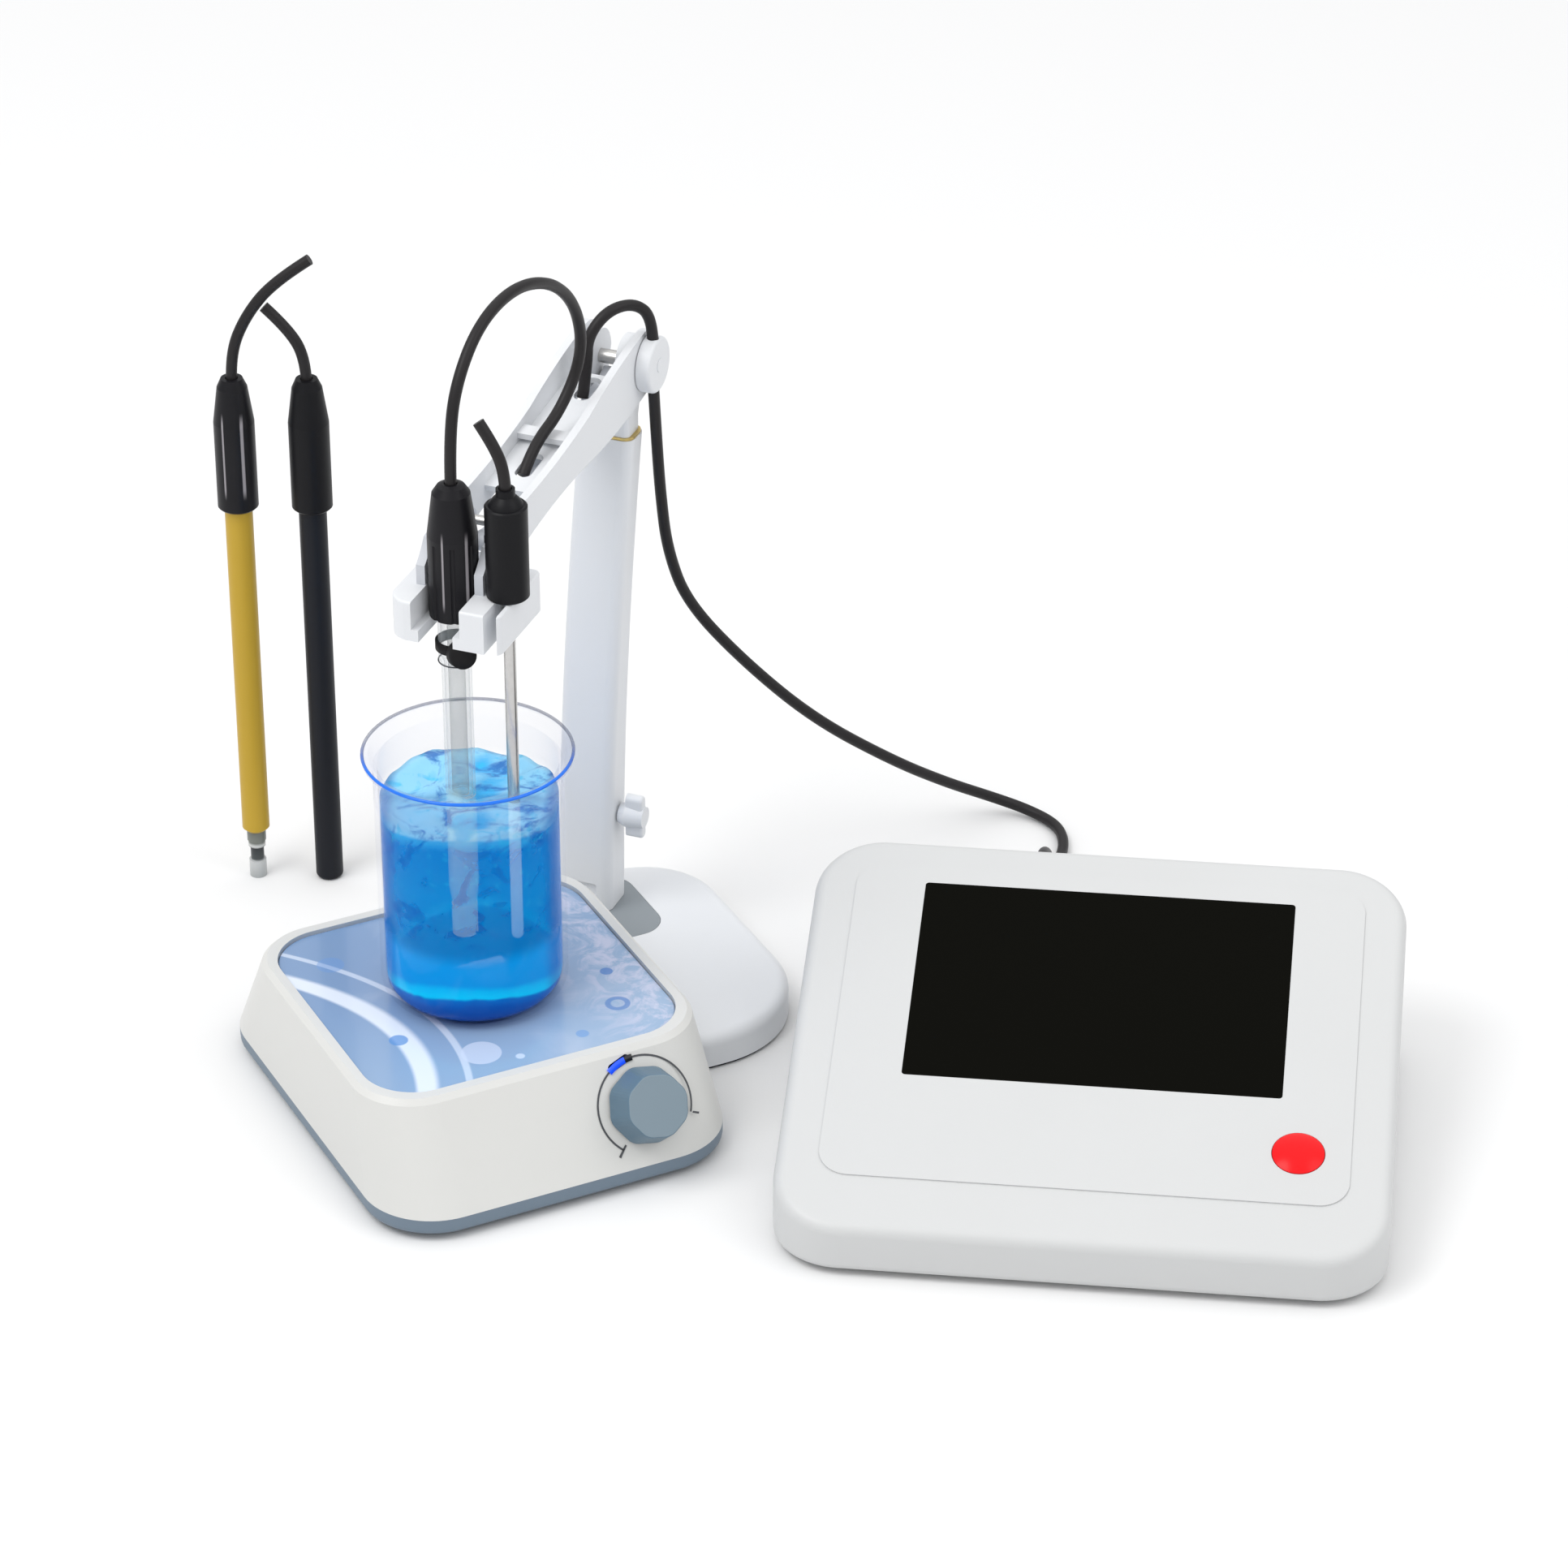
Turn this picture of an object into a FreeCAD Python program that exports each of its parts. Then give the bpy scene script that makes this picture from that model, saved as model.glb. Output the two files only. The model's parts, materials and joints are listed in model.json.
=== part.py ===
import FreeCAD, Part
import math
import os
import Sketcher
from FreeCAD import Placement, Rotation, Vector

# A bench meter for water quality with its magnetic stirrer, beaker, electrode stand and electrodes.
# Millimetres and degrees. X runs along the bench, Y away from the user and Z up.

SIZES = {
    # Where the units stand on the bench
    "stirrer_x": -121.18,
    "stirrer_y": -31.75,
    "stirrer_turn": 33,
    "base_gap": 2,
    "meter_gap": 12.3,
    "meter_y": -44.5,
    "rubber_foot": 2.5,
    "rubber_foot_radius": 7,
    # Meter case
    "meter_width": 242,
    "meter_depth": 201.5,
    "meter_corner": 28,
    "meter_front": 23,
    "meter_slope": 16,
    "meter_wall": 2.5,
    "meter_seam": 9,
    "meter_edge": 5,
    "bottom_edge": 3.4,
    "tongue_height": 2,
    "boss_inset": 22,
    "boss_radius": 4,
    "boss_top": 12,
    "screw_radius": 1.5,
    "screw_head_radius": 2.8,
    "screw_head": 1.6,
    "panel_width": 208,
    "panel_start": 27,
    "panel_length": 166,
    "panel_corner": 12,
    "panel_rise": 0.6,
    # Meter screen, button and boards
    "screen_width": 151.3,
    "screen_length": 103.8,
    "screen_start": 80,
    "glass_thickness": 1.2,
    "window_ledge": 2.5,
    "display_margin": 4,
    "display_thickness": 7,
    "button_x": 83.3,
    "button_up": 52.5,
    "button_radius": 10.3,
    "button_dome": 2.6,
    "button_skirt": 1.4,
    "button_travel": 1.2,
    "button_play": 0.3,
    "switch_size": 10,
    "switch_height": 4,
    "switch_board": 1.6,
    "post_spacing": 34,
    "post_radius": 2.2,
    "board_width": 170,
    "board_depth": 92,
    "board_thickness": 1.6,
    "board_height": 12,
    "board_back": 25,
    # Sockets on the back of the meter
    "socket_height": 40,
    "socket_pitch": 26,
    "socket_first": -60,
    "bnc_radius": 4.8,
    "bnc_length": 13,
    "bnc_flange": 7,
    "bnc_nut": 7.5,
    "nut_thickness": 2,
    "round_socket_radius": 8.5,
    "jack_radius": 5,
    "usb_width": 12,
    "usb_height": 11,
    "usb_depth": 14,
    # Stirrer
    "stirrer_width": 154,
    "stirrer_depth": 188,
    "stirrer_corner": 30,
    "band_top": 10,
    "stirrer_height": 52.5,
    "rim_width": 146,
    "rim_depth": 143,
    "rim_corner": 26,
    "rim_edge": 2.2,
    "stirrer_wall": 2.5,
    "plate_width": 134,
    "plate_depth": 130,
    "plate_corner": 22,
    "plate_thickness": 3,
    "plate_sink": 1.5,
    "plate_ledge": 5,
    "knob_x": 37,
    "knob_height": 31,
    "knob_radius": 15.5,
    "knob_face_radius": 13,
    "knob_depth": 14,
    "knob_gap": 1.2,
    "shaft_radius": 3,
    "pot_radius": 8.5,
    "pot_depth": 7,
    "pot_bush_radius": 4,
    "lamp_radius": 20,
    "lamp_turn": 20,
    "lamp_length": 10,
    "lamp_width": 3.2,
    "motor_radius": 18,
    "motor_height": 22,
    "motor_shaft": 1.6,
    "carrier_radius": 24,
    "carrier_thickness": 6,
    "magnet_radius": 6.5,
    "magnet_height": 4,
    "magnet_spacing": 30,
    # Beaker, sample and stir bar
    "beaker_radius": 38,
    "beaker_height": 110,
    "beaker_wall": 1.8,
    "beaker_floor": 2.4,
    "beaker_bend": 9,
    "rim_flare": 4.2,
    "liquid_height": 88,
    "bar_length": 26,
    "bar_radius": 3.8,
    # Stand base and column
    "column_inset": 15.2,
    "column_back": 92.7,
    "aim_angle": -1.8,
    "base_width": 66,
    "base_length": 140.5,
    "base_outer_front": 46,
    "base_inner_front": 14,
    "base_outer_back": 34,
    "base_inner_back": 26,
    "base_height": 16,
    "base_behind": 19,
    "base_edge": 5,
    "sole_thickness": 1.5,
    "sole_inset": 1.2,
    "inlay_width": 28,
    "inlay_length": 50,
    "inlay_corner": 12,
    "inlay_side": 5,
    "inlay_forward": 11.8,
    "inlay_depth": 1,
    "spigot_radius": 5,
    "spigot_length": 9,
    "foot_width": 22.5,
    "foot_depth": 20,
    "foot_height": 18,
    "foot_window": 12,
    "head_height": 32,
    "column_width": 25.2,
    "column_depth": 15,
    "column_lean": 28,
    "collar_thickness": 1.2,
    "clamp_height": 60,
    "clamp_span": 20,
    "clamp_radius": 2,
    "clamp_depth": 8,
    "clamp_hub": 5.5,
    "clamp_start": 1,
    "clamp_length": 11,
    # Head, arm and holder
    "hub_back": 32,
    "hub_height": 258,
    "hub_radius": 11.5,
    "head_width": 21.4,
    "head_depth": 13,
    "head_slot": 10.8,
    "axle_radius": 3,
    "running_gap": 0.05,
    "side_gap": 0.4,
    "cap_length": 6,
    "arm_width": 29,
    "arm_wall": 3.4,
    "arm_tilt": 5.3,
    "arm_floor": 2.5,
    "arm_hub_radius": 14,
    "arm_end_radius": 9.5,
    "cord_slot_width": 7.2,
    "cord_slot_length": 18,
    "cord_entry": 88,
    "cord_exit": 27,
    "bar_place": 70,
    "link_drop": 9,
    "link_width": 8,
    "link_radius": 4.2,
    "open_pivot_gap": 0.5,
    "pin_radius": 2,
    "bracket_reach": 33,
    "bracket_width": 21.4,
    "bracket_wall": 3,
    "cheek_width": 28.4,
    "cheek_rise": 17,
    "holder_drop": 41,
    "holder_height": 17,
    "holder_left": 21,
    "holder_right": 27,
    "holder_front": 19,
    "holder_rear": 24,
    "holder_corner": 8,
    "seat_depth": 12,
    "seat_gap": 0.3,
    # Electrodes in the holder
    "ph_cap_radius": 10,
    "ph_cap_height": 57,
    "ph_neck_radius": 7,
    "ph_neck_length": 22,
    "ph_tube_radius": 6,
    "ph_inner_radius": 3.4,
    "glass_wall": 1,
    "ph_guard_length": 14,
    "tip_height": 22,
    "filler_radius": 5.4,
    "temp_side": 23,
    "temp_cap_radius": 8.5,
    "temp_cap_height": 40,
    "temp_neck": 7,
    "temp_rod_radius": 2.4,
    # Spare electrodes that stand by themselves, measured from the stirrer
    "yellow_x": -123,
    "yellow_y": 156.5,
    "black_x": -92,
    "black_y": 159.5,
    "spare_height": 241,
    "spare_cap_radius": 8.6,
    "spare_cap_length": 60,
    "spare_tube_radius": 5.9,
    "yellow_tip_length": 23,
    # Cords
    "cord_diameter": 4.8,
    "cord_play": 0.3,
    "cord_socket": 3,
    "plug_length": 42,
    "cord_plug_radius": 7.5,
}

doc = FreeCAD.newDocument("WaterQualityMeter")
sheet = doc.addObject("Spreadsheet::Sheet", "Sizes")
for row, (alias, number) in enumerate(SIZES.items(), 1):
    sheet.set(f"A{row}", alias)
    sheet.set(f"B{row}", str(number))
    sheet.setAlias(f"B{row}", alias)
doc.recompute()


class Size:
    """A length or angle of the sheet, or a sum of such sizes, with its value and its expression."""

    def __init__(self, text, value):
        self.text = text
        self.value = value

    def __add__(self, other):
        other = as_size(other)
        return Size(f"({self.text} + {other.text})", self.value + other.value)

    def __radd__(self, other):
        return as_size(other) + self

    def __sub__(self, other):
        other = as_size(other)
        return Size(f"({self.text} - {other.text})", self.value - other.value)

    def __rsub__(self, other):
        return as_size(other) - self

    def __mul__(self, other):
        other = as_size(other)
        return Size(f"({self.text} * {other.text})", self.value * other.value)

    def __rmul__(self, other):
        return as_size(other) * self

    def __truediv__(self, other):
        other = as_size(other)
        return Size(f"({self.text} / {other.text})", self.value / other.value)

    def __neg__(self):
        return Size(f"(0 - {self.text})", -self.value)


def as_size(number):
    return number if isinstance(number, Size) else Size(repr(float(number)), float(number))


def sine(angle):
    return Size(f"sin({angle.text} * 1 deg)", math.sin(math.radians(angle.value)))


def cosine(angle):
    return Size(f"cos({angle.text} * 1 deg)", math.cos(math.radians(angle.value)))


def tangent(angle):
    return Size(f"tan({angle.text} * 1 deg)", math.tan(math.radians(angle.value)))


def angle_of(ratio):
    return Size(f"(atan({ratio.text}) / 1 deg)", math.degrees(math.atan(ratio.value)))


def root(number):
    return Size(f"sqrt({number.text})", math.sqrt(number.value))


class Lookup:
    """The sheet's cells by name."""

    def __getattr__(self, name):
        return Size(f"Sizes.{name}", float(sheet.get(name)))


cell = Lookup()


class Frame:
    """A place and direction worked out from sizes, kept as a placement and as its expression."""

    def __init__(self, text=None, value=None):
        self.text = text
        self.value = value or Placement()

    def step(self, text, value):
        joined = text if self.text is None else f"{self.text} * {text}"
        return Frame(joined, self.value.multiply(value))

    def move(self, x=0, y=0, z=0):
        x, y, z = as_size(x), as_size(y), as_size(z)
        text = f"placement(vector({x.text}; {y.text}; {z.text}); rotation(vector(0; 0; 1); 0))"
        return self.step(text, Placement(Vector(x.value, y.value, z.value), Rotation()))

    def spin(self, axis, angle):
        angle = as_size(angle)
        text = (f"placement(vector(0; 0; 0); "
                f"rotation(vector({axis[0]}; {axis[1]}; {axis[2]}); {angle.text}))")
        return self.step(text, Placement(Vector(), Rotation(Vector(*axis), angle.value)))

    def turn(self, angle):
        return self.spin((0, 0, 1), angle)

    def tilt(self, angle):
        return self.spin((1, 0, 0), angle)


# Sketch planes: x and height, y and height
UPRIGHT = Frame().tilt(90)
SIDE = Frame().turn(90).tilt(90)


def new_body(name, frame):
    body = doc.addObject("PartDesign::Body", name)
    body.Label = name
    body.AllowCompound = True
    body.Placement = frame.value
    if frame.text:
        body.setExpression("Placement", frame.text)
    return body


def new_sketch(body, frame=Frame()):
    plane = [item for item in body.Origin.OriginFeatures if item.Role == "XY_Plane"][0]
    sketch = body.newObject("Sketcher::SketchObject", "Outline")
    sketch.AttachmentSupport = [(plane, "")]
    sketch.MapMode = "FlatFace"
    sketch.AttachmentOffset = frame.value
    if frame.text:
        sketch.setExpression("AttachmentOffset", frame.text)
    return sketch


def fix(sketch, kind, places, size):
    size = as_size(size)
    number = sketch.addConstraint(Sketcher.Constraint(kind, *places, size.value))
    sketch.setExpression(f"Constraints[{number}]", size.text)


def fix_point(sketch, edge, end, x, y):
    fix(sketch, "DistanceX", (-1, 1, edge, end), x)
    fix(sketch, "DistanceY", (-1, 1, edge, end), y)


def bent_edge(start, end, radius):
    """An arc from start to end that bulges to the right of the way there, or left if radius < 0."""
    chord = end - start
    half = chord.Length / 2
    rise = math.sqrt(radius * radius - half * half)
    side = Vector(-chord.y, chord.x, 0).normalize()
    centre = start + chord * 0.5 + side * math.copysign(rise, radius)
    first = math.atan2(start.y - centre.y, start.x - centre.x)
    last = math.atan2(end.y - centre.y, end.x - centre.x)
    circle = Part.Circle(centre, Vector(0, 0, 1), abs(radius))
    if radius > 0:
        return Part.ArcOfCircle(circle, first, last), 1, 2
    return Part.ArcOfCircle(circle, last, first), 2, 1


def polygon(sketch, points, bends=None):
    """A closed outline through the points; bends gives the radius of each edge that is an arc."""
    bends = bends or {}
    spots = [(as_size(x), as_size(y)) for x, y in points]
    edges = []
    for number, (x, y) in enumerate(spots):
        next_x, next_y = spots[(number + 1) % len(spots)]
        start, end = Vector(x.value, y.value, 0), Vector(next_x.value, next_y.value, 0)
        if number in bends:
            radius = as_size(bends[number])
            shape, first, last = bent_edge(start, end, radius.value)
            edge = sketch.addGeometry(shape, False)
            fix(sketch, "Radius", (edge,), radius if radius.value > 0 else -radius)
        else:
            edge, first, last = sketch.addGeometry(Part.LineSegment(start, end), False), 1, 2
        fix_point(sketch, edge, first, x, y)
        edges.append((edge, first, last))
    for number, (edge, first, last) in enumerate(edges):
        following, start, _ = edges[(number + 1) % len(edges)]
        sketch.addConstraint(Sketcher.Constraint("Coincident", edge, last, following, start))
    return sketch


def circle(sketch, radius, x=0, y=0):
    radius, x, y = as_size(radius), as_size(x), as_size(y)
    centre = Vector(x.value, y.value, 0)
    edge = sketch.addGeometry(Part.Circle(centre, Vector(0, 0, 1), radius.value), False)
    fix(sketch, "Radius", (edge,), radius)
    fix_point(sketch, edge, 3, x, y)
    return sketch


def rounded_rectangle(sketch, width, depth, corner, x=0, y=0):
    """Corner is one radius, or four, from the right rear corner round to the left."""
    width, depth, x, y = (as_size(item) for item in (width, depth, x, y))
    radii = corner if isinstance(corner, list) else [as_size(corner)] * 4
    corners = []
    for number, (side, back) in enumerate([(1, 1), (-1, 1), (-1, -1), (1, -1)]):
        corner = radii[number]
        middle_x = x + side * (width / 2 - corner)
        middle_y = y + back * (depth / 2 - corner)
        centre = Vector(middle_x.value, middle_y.value, 0)
        circle_form = Part.Circle(centre, Vector(0, 0, 1), corner.value)
        start = number * math.pi / 2
        edge = sketch.addGeometry(Part.ArcOfCircle(circle_form, start, start + math.pi / 2), False)
        fix(sketch, "Radius", (edge,), corner)
        fix_point(sketch, edge, 3, middle_x, middle_y)
        level_end, upright_end = (1, 2) if number % 2 == 0 else (2, 1)
        sketch.addConstraint(Sketcher.Constraint("Horizontal", edge, 3, edge, level_end))
        sketch.addConstraint(Sketcher.Constraint("Vertical", edge, 3, edge, upright_end))
        corners.append(edge)
    for number, edge in enumerate(corners):
        following = corners[(number + 1) % 4]
        start, end = sketch.getPoint(edge, 2), sketch.getPoint(following, 1)
        line = sketch.addGeometry(Part.LineSegment(start, end), False)
        sketch.addConstraint(Sketcher.Constraint("Coincident", edge, 2, line, 1))
        sketch.addConstraint(Sketcher.Constraint("Coincident", line, 2, following, 1))
    return sketch


# An arc of half a turn has a radius just over half its chord
half_turn = 1.0001

volumes = {}


def finish_feature(body, feature, changes="any"):
    """Recomputes, and checks that the feature is sound and changed the volume as it should."""
    doc.recompute()
    if not feature.isValid() or feature.Shape.isNull():
        raise RuntimeError(f"{body.Label}: {feature.Name} failed")
    change = feature.Shape.Volume - volumes.get(body.Name, 0.0)
    volumes[body.Name] = feature.Shape.Volume
    if (changes == "less" and change > -1e-6) or (changes == "more" and change < 1e-6):
        raise RuntimeError(f"{body.Label}: {feature.Name} changed the volume by {change:.3f}")
    body.Tip = feature
    return feature


def pad(body, sketch, length, symmetric=False, down=False):
    feature = body.newObject("PartDesign::Pad", "Pad")
    feature.Profile = sketch
    feature.Length = as_size(length).value
    feature.setExpression("Length", as_size(length).text)
    feature.SideType = "Symmetric" if symmetric else "One side"
    feature.Reversed = down
    return finish_feature(body, feature, "more")


def pocket(body, sketch, length, symmetric=False, up=False):
    feature = body.newObject("PartDesign::Pocket", "Pocket")
    feature.Profile = sketch
    feature.Length = as_size(length).value
    feature.setExpression("Length", as_size(length).text)
    feature.SideType = "Symmetric" if symmetric else "One side"
    feature.Reversed = up
    return finish_feature(body, feature, "less")


def revolve(body, sketch, cut=False):
    kind = "PartDesign::Groove" if cut else "PartDesign::Revolution"
    feature = body.newObject(kind, "Turned")
    feature.Profile = sketch
    feature.ReferenceAxis = (sketch, ["V_Axis"])
    feature.Angle = 360
    return finish_feature(body, feature, "less" if cut else "more")


def loft(body, sketches, cut=False, ruled=True):
    kind = "PartDesign::SubtractiveLoft" if cut else "PartDesign::AdditiveLoft"
    feature = body.newObject(kind, "Loft")
    feature.Profile = sketches[0]
    feature.Sections = sketches[1:]
    feature.Ruled = ruled
    return finish_feature(body, feature, "less" if cut else "more")


def edges_where(body, wanted):
    edges = body.Tip.Shape.Edges
    return [f"Edge{number}" for number, edge in enumerate(edges, 1) if wanted(edge)]


def faces_where(body, wanted):
    faces = body.Tip.Shape.Faces
    return [f"Face{number}" for number, face in enumerate(faces, 1) if wanted(face)]


def fillet(body, radius, wanted):
    names = edges_where(body, wanted)
    if not names:
        raise RuntimeError(f"{body.Label}: no edge to round")
    base = body.Tip
    feature = body.newObject("PartDesign::Fillet", "Fillet")
    feature.Base = (base, names)
    feature.Radius = as_size(radius).value
    feature.setExpression("Radius", as_size(radius).text)
    return finish_feature(body, feature)


def chamfer(body, size, wanted):
    names = edges_where(body, wanted)
    if not names:
        raise RuntimeError(f"{body.Label}: no edge to chamfer")
    base = body.Tip
    feature = body.newObject("PartDesign::Chamfer", "Chamfer")
    feature.Base = (base, names)
    feature.Size = as_size(size).value
    feature.setExpression("Size", as_size(size).text)
    return finish_feature(body, feature)


def hollow(body, wall, open_face):
    base, names = body.Tip, faces_where(body, open_face)
    feature = body.newObject("PartDesign::Thickness", "Shell")
    feature.Base = (base, names)
    feature.Value = as_size(wall).value
    feature.setExpression("Value", as_size(wall).text)
    feature.Reversed = True
    return finish_feature(body, feature, "less")


def turned(name, frame, points, bends=None):
    """A solid of revolution about its frame's Z, from the (radius, height) points of its half."""
    body = new_body(name, frame)
    revolve(body, polygon(new_sketch(body, UPRIGHT), points, bends))
    return body


def level_edge(height):
    """Edges that lie flat at the height."""
    def wanted(edge):
        box = edge.BoundBox
        return abs(box.ZMin - height.value) < 1e-3 and abs(box.ZMax - height.value) < 1e-3
    return wanted


def upright_edge(edge):
    box = edge.BoundBox
    return box.XLength < 1e-6 and box.YLength < 1e-6


def face_at(height):
    def wanted(face):
        box = face.BoundBox
        return box.ZLength < 1e-6 and abs(box.ZMin - height.value) < 1e-6
    return wanted


def group(name, members):
    compound = doc.addObject("Part::Compound", name)
    compound.Label = name
    compound.Links = members
    doc.recompute()
    return compound


nodes = []


def keep(*objects):
    nodes.extend(objects)


# Frames of the three units
stirrer = Frame().move(cell.stirrer_x, cell.stirrer_y).turn(cell.stirrer_turn)
foot_x = cell.stirrer_width / 2 + cell.base_gap + cell.column_inset
foot_y = cell.column_back
stand_turn = cell.aim_angle - angle_of(foot_x / foot_y)
stand = stirrer.move(foot_x, foot_y).turn(stand_turn)
reach = root(foot_x * foot_x + foot_y * foot_y) * cosine(cell.aim_angle) - 1.3
base_x = cell.stirrer_width / 2 + cell.base_gap + cell.base_width / 2
base_y = cell.column_back + cell.base_behind - cell.base_length / 2
base = stirrer.move(base_x, base_y)
base_bend = cell.base_outer_front
base_reach = ((cell.base_width / 2 - base_bend) * cosine(cell.stirrer_turn)
              + (cell.base_length / 2 - base_bend) * sine(cell.stirrer_turn) + base_bend)
base_centre_x = (cell.stirrer_x + base_x * cosine(cell.stirrer_turn)
                 - base_y * sine(cell.stirrer_turn))
meter_x = base_centre_x + base_reach + cell.meter_gap + cell.meter_width / 2
meter = Frame().move(meter_x, cell.meter_y)


# Meter case
def slope_frame(lift):
    """On the sloping top, measured from the middle of its front edge, lifted off the face."""
    return (Frame().move(0, -cell.meter_depth / 2, cell.meter_front)
            .tilt(cell.meter_slope).move(0, 0, lift))


def roof_height(y, inset):
    """Height of the sloping top over a place in plan, less an inset along the face's normal."""
    return (cell.meter_front + (y + cell.meter_depth / 2) * tangent(cell.meter_slope)
            - inset / cosine(cell.meter_slope))


def screw_places():
    across = cell.meter_width / 2 - cell.boss_inset
    along = cell.meter_depth / 2 - cell.boss_inset
    return [(side * across, back * along) for side in (-1, 1) for back in (-1, 1)]


def back_hole(body, radius, x, z):
    spot = Frame().move(x, cell.meter_depth / 2, z).tilt(90)
    pocket(body, circle(new_sketch(body, spot), radius), 6 * cell.meter_wall, symmetric=True)


panel_middle = cell.panel_start + cell.panel_length / 2
screen_middle = cell.screen_start + cell.screen_length / 2
socket_x = [cell.socket_first + number * cell.socket_pitch for number in range(6)]


def make_meter_top_case():
    body = new_body("meter_top_case", meter)
    width, depth, wall = cell.meter_width, cell.meter_depth, cell.meter_wall
    seam = cell.meter_seam
    back_top = cell.meter_front + depth * tangent(cell.meter_slope)
    outline = new_sketch(body, Frame().move(0, 0, seam))
    pad(body, rounded_rectangle(outline, width, depth, cell.meter_corner), back_top - seam + 4)
    over = 10
    rise = over * tangent(cell.meter_slope)
    wedge = [(-depth / 2 - over, cell.meter_front - rise), (depth / 2 + over, back_top + rise),
             (depth / 2 + over, back_top + 30), (-depth / 2 - over, back_top + 30)]
    pocket(body, polygon(new_sketch(body, SIDE), wedge), width + 20, symmetric=True)
    slope = math.radians(cell.meter_slope.value)
    normal = Vector(0, -math.sin(slope), math.cos(slope))

    def on_top(edge):
        start, end = edge.Vertexes[0].Point, edge.Vertexes[-1].Point
        corner = Vector(0, -depth.value / 2, cell.meter_front.value)
        return all(abs((point - corner).dot(normal)) < 1e-3 for point in (start, end))

    fillet(body, cell.meter_edge, on_top)
    hollow(body, wall, face_at(seam))
    panel = new_sketch(body, slope_frame(-wall / 2))
    rounded_rectangle(panel, cell.panel_width, cell.panel_length, cell.panel_corner, 0, panel_middle)
    pad(body, panel, cell.panel_rise + wall / 2)
    recess = new_sketch(body, slope_frame(cell.panel_rise))
    rounded_rectangle(recess, cell.screen_width, cell.screen_length, 1.5, 0, screen_middle)
    pocket(body, recess, cell.glass_thickness)
    window = new_sketch(body, slope_frame(cell.panel_rise))
    rounded_rectangle(window, cell.screen_width - 2 * cell.window_ledge,
                      cell.screen_length - 2 * cell.window_ledge, 1, 0, screen_middle)
    pocket(body, window, 3 * wall)
    hole = new_sketch(body, slope_frame(cell.panel_rise))
    pocket(body, circle(hole, cell.button_radius + cell.button_play, cell.button_x, cell.button_up), 3 * wall)
    posts = new_sketch(body, slope_frame(-wall / 2))
    for side in (-1, 1):
        circle(posts, cell.post_radius, cell.button_x + side * cell.post_spacing / 2, cell.button_up)
    pad(body, posts, wall / 2 + switch_gap, down=True)
    for x, y in screw_places():
        boss = new_sketch(body, Frame().move(0, 0, cell.boss_top))
        circle(boss, cell.boss_radius, x, y)
        top = roof_height(y, wall / 2) - cell.boss_radius * tangent(cell.meter_slope)
        pad(body, boss, top - cell.boss_top)
    holes = new_sketch(body, Frame().move(0, 0, cell.boss_top))
    for x, y in screw_places():
        circle(holes, cell.screw_radius + cell.running_gap, x, y)
    pocket(body, holes, 7, up=True)
    for x in socket_x[:2]:
        back_hole(body, cell.bnc_radius + cell.running_gap, x, cell.socket_height)
    for x in socket_x[2:4]:
        back_hole(body, cell.round_socket_radius + cell.running_gap, x, cell.socket_height)
    back_hole(body, cell.jack_radius + cell.running_gap, socket_x[5], cell.socket_height)
    usb = new_sketch(body, Frame().move(socket_x[4], depth / 2, cell.socket_height).tilt(90))
    gap = 2 * cell.running_gap
    rounded_rectangle(usb, cell.usb_width + gap, cell.usb_height + gap, 0.5)
    pocket(body, usb, 6 * wall, symmetric=True)
    return body


def make_meter_bottom_case():
    body = new_body("meter_bottom_case", meter)
    width, depth, wall = cell.meter_width, cell.meter_depth, cell.meter_wall
    bottom, seam = cell.rubber_foot, cell.meter_seam
    outline = new_sketch(body, Frame().move(0, 0, bottom))
    pad(body, rounded_rectangle(outline, width, depth, cell.meter_corner), seam - bottom)
    fillet(body, cell.bottom_edge, level_edge(bottom))
    hollow(body, wall, face_at(seam))
    tongue = new_sketch(body, Frame().move(0, 0, bottom + wall / 2))
    inset = 2 * wall + 2 * cell.side_gap
    rounded_rectangle(tongue, width - inset, depth - inset, cell.meter_corner - inset / 2)
    rounded_rectangle(tongue, width - inset - wall, depth - inset - wall,
                      cell.meter_corner - inset / 2 - wall / 2)
    pad(body, tongue, seam + cell.tongue_height - bottom - wall / 2)
    posts = new_sketch(body, Frame().move(0, 0, bottom + wall / 2))
    for x, y in screw_places():
        circle(posts, cell.boss_radius, x, y)
    pad(body, posts, cell.boss_top - bottom - wall / 2)
    board_posts = new_sketch(body, Frame().move(0, 0, bottom + wall / 2))
    for side in (-1, 1):
        for back in (-1, 1):
            circle(board_posts, cell.post_radius, side * (cell.board_width / 2 - 6),
                   cell.board_back + back * (cell.board_depth / 2 - 6))
    pad(body, board_posts, cell.board_height - bottom - wall / 2)
    holes = new_sketch(body, Frame().move(0, 0, bottom))
    heads = new_sketch(body, Frame().move(0, 0, bottom))
    for x, y in screw_places():
        circle(holes, cell.screw_radius + cell.running_gap, x, y)
        circle(heads, cell.screw_head_radius + cell.running_gap, x, y)
    pocket(body, holes, cell.boss_top, up=True)
    pocket(body, heads, cell.screw_head, up=True)
    return body


# The switch sits under the button, its travel below the button's foot
switch_gap = cell.button_skirt + cell.button_travel + cell.switch_height - cell.panel_rise


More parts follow.
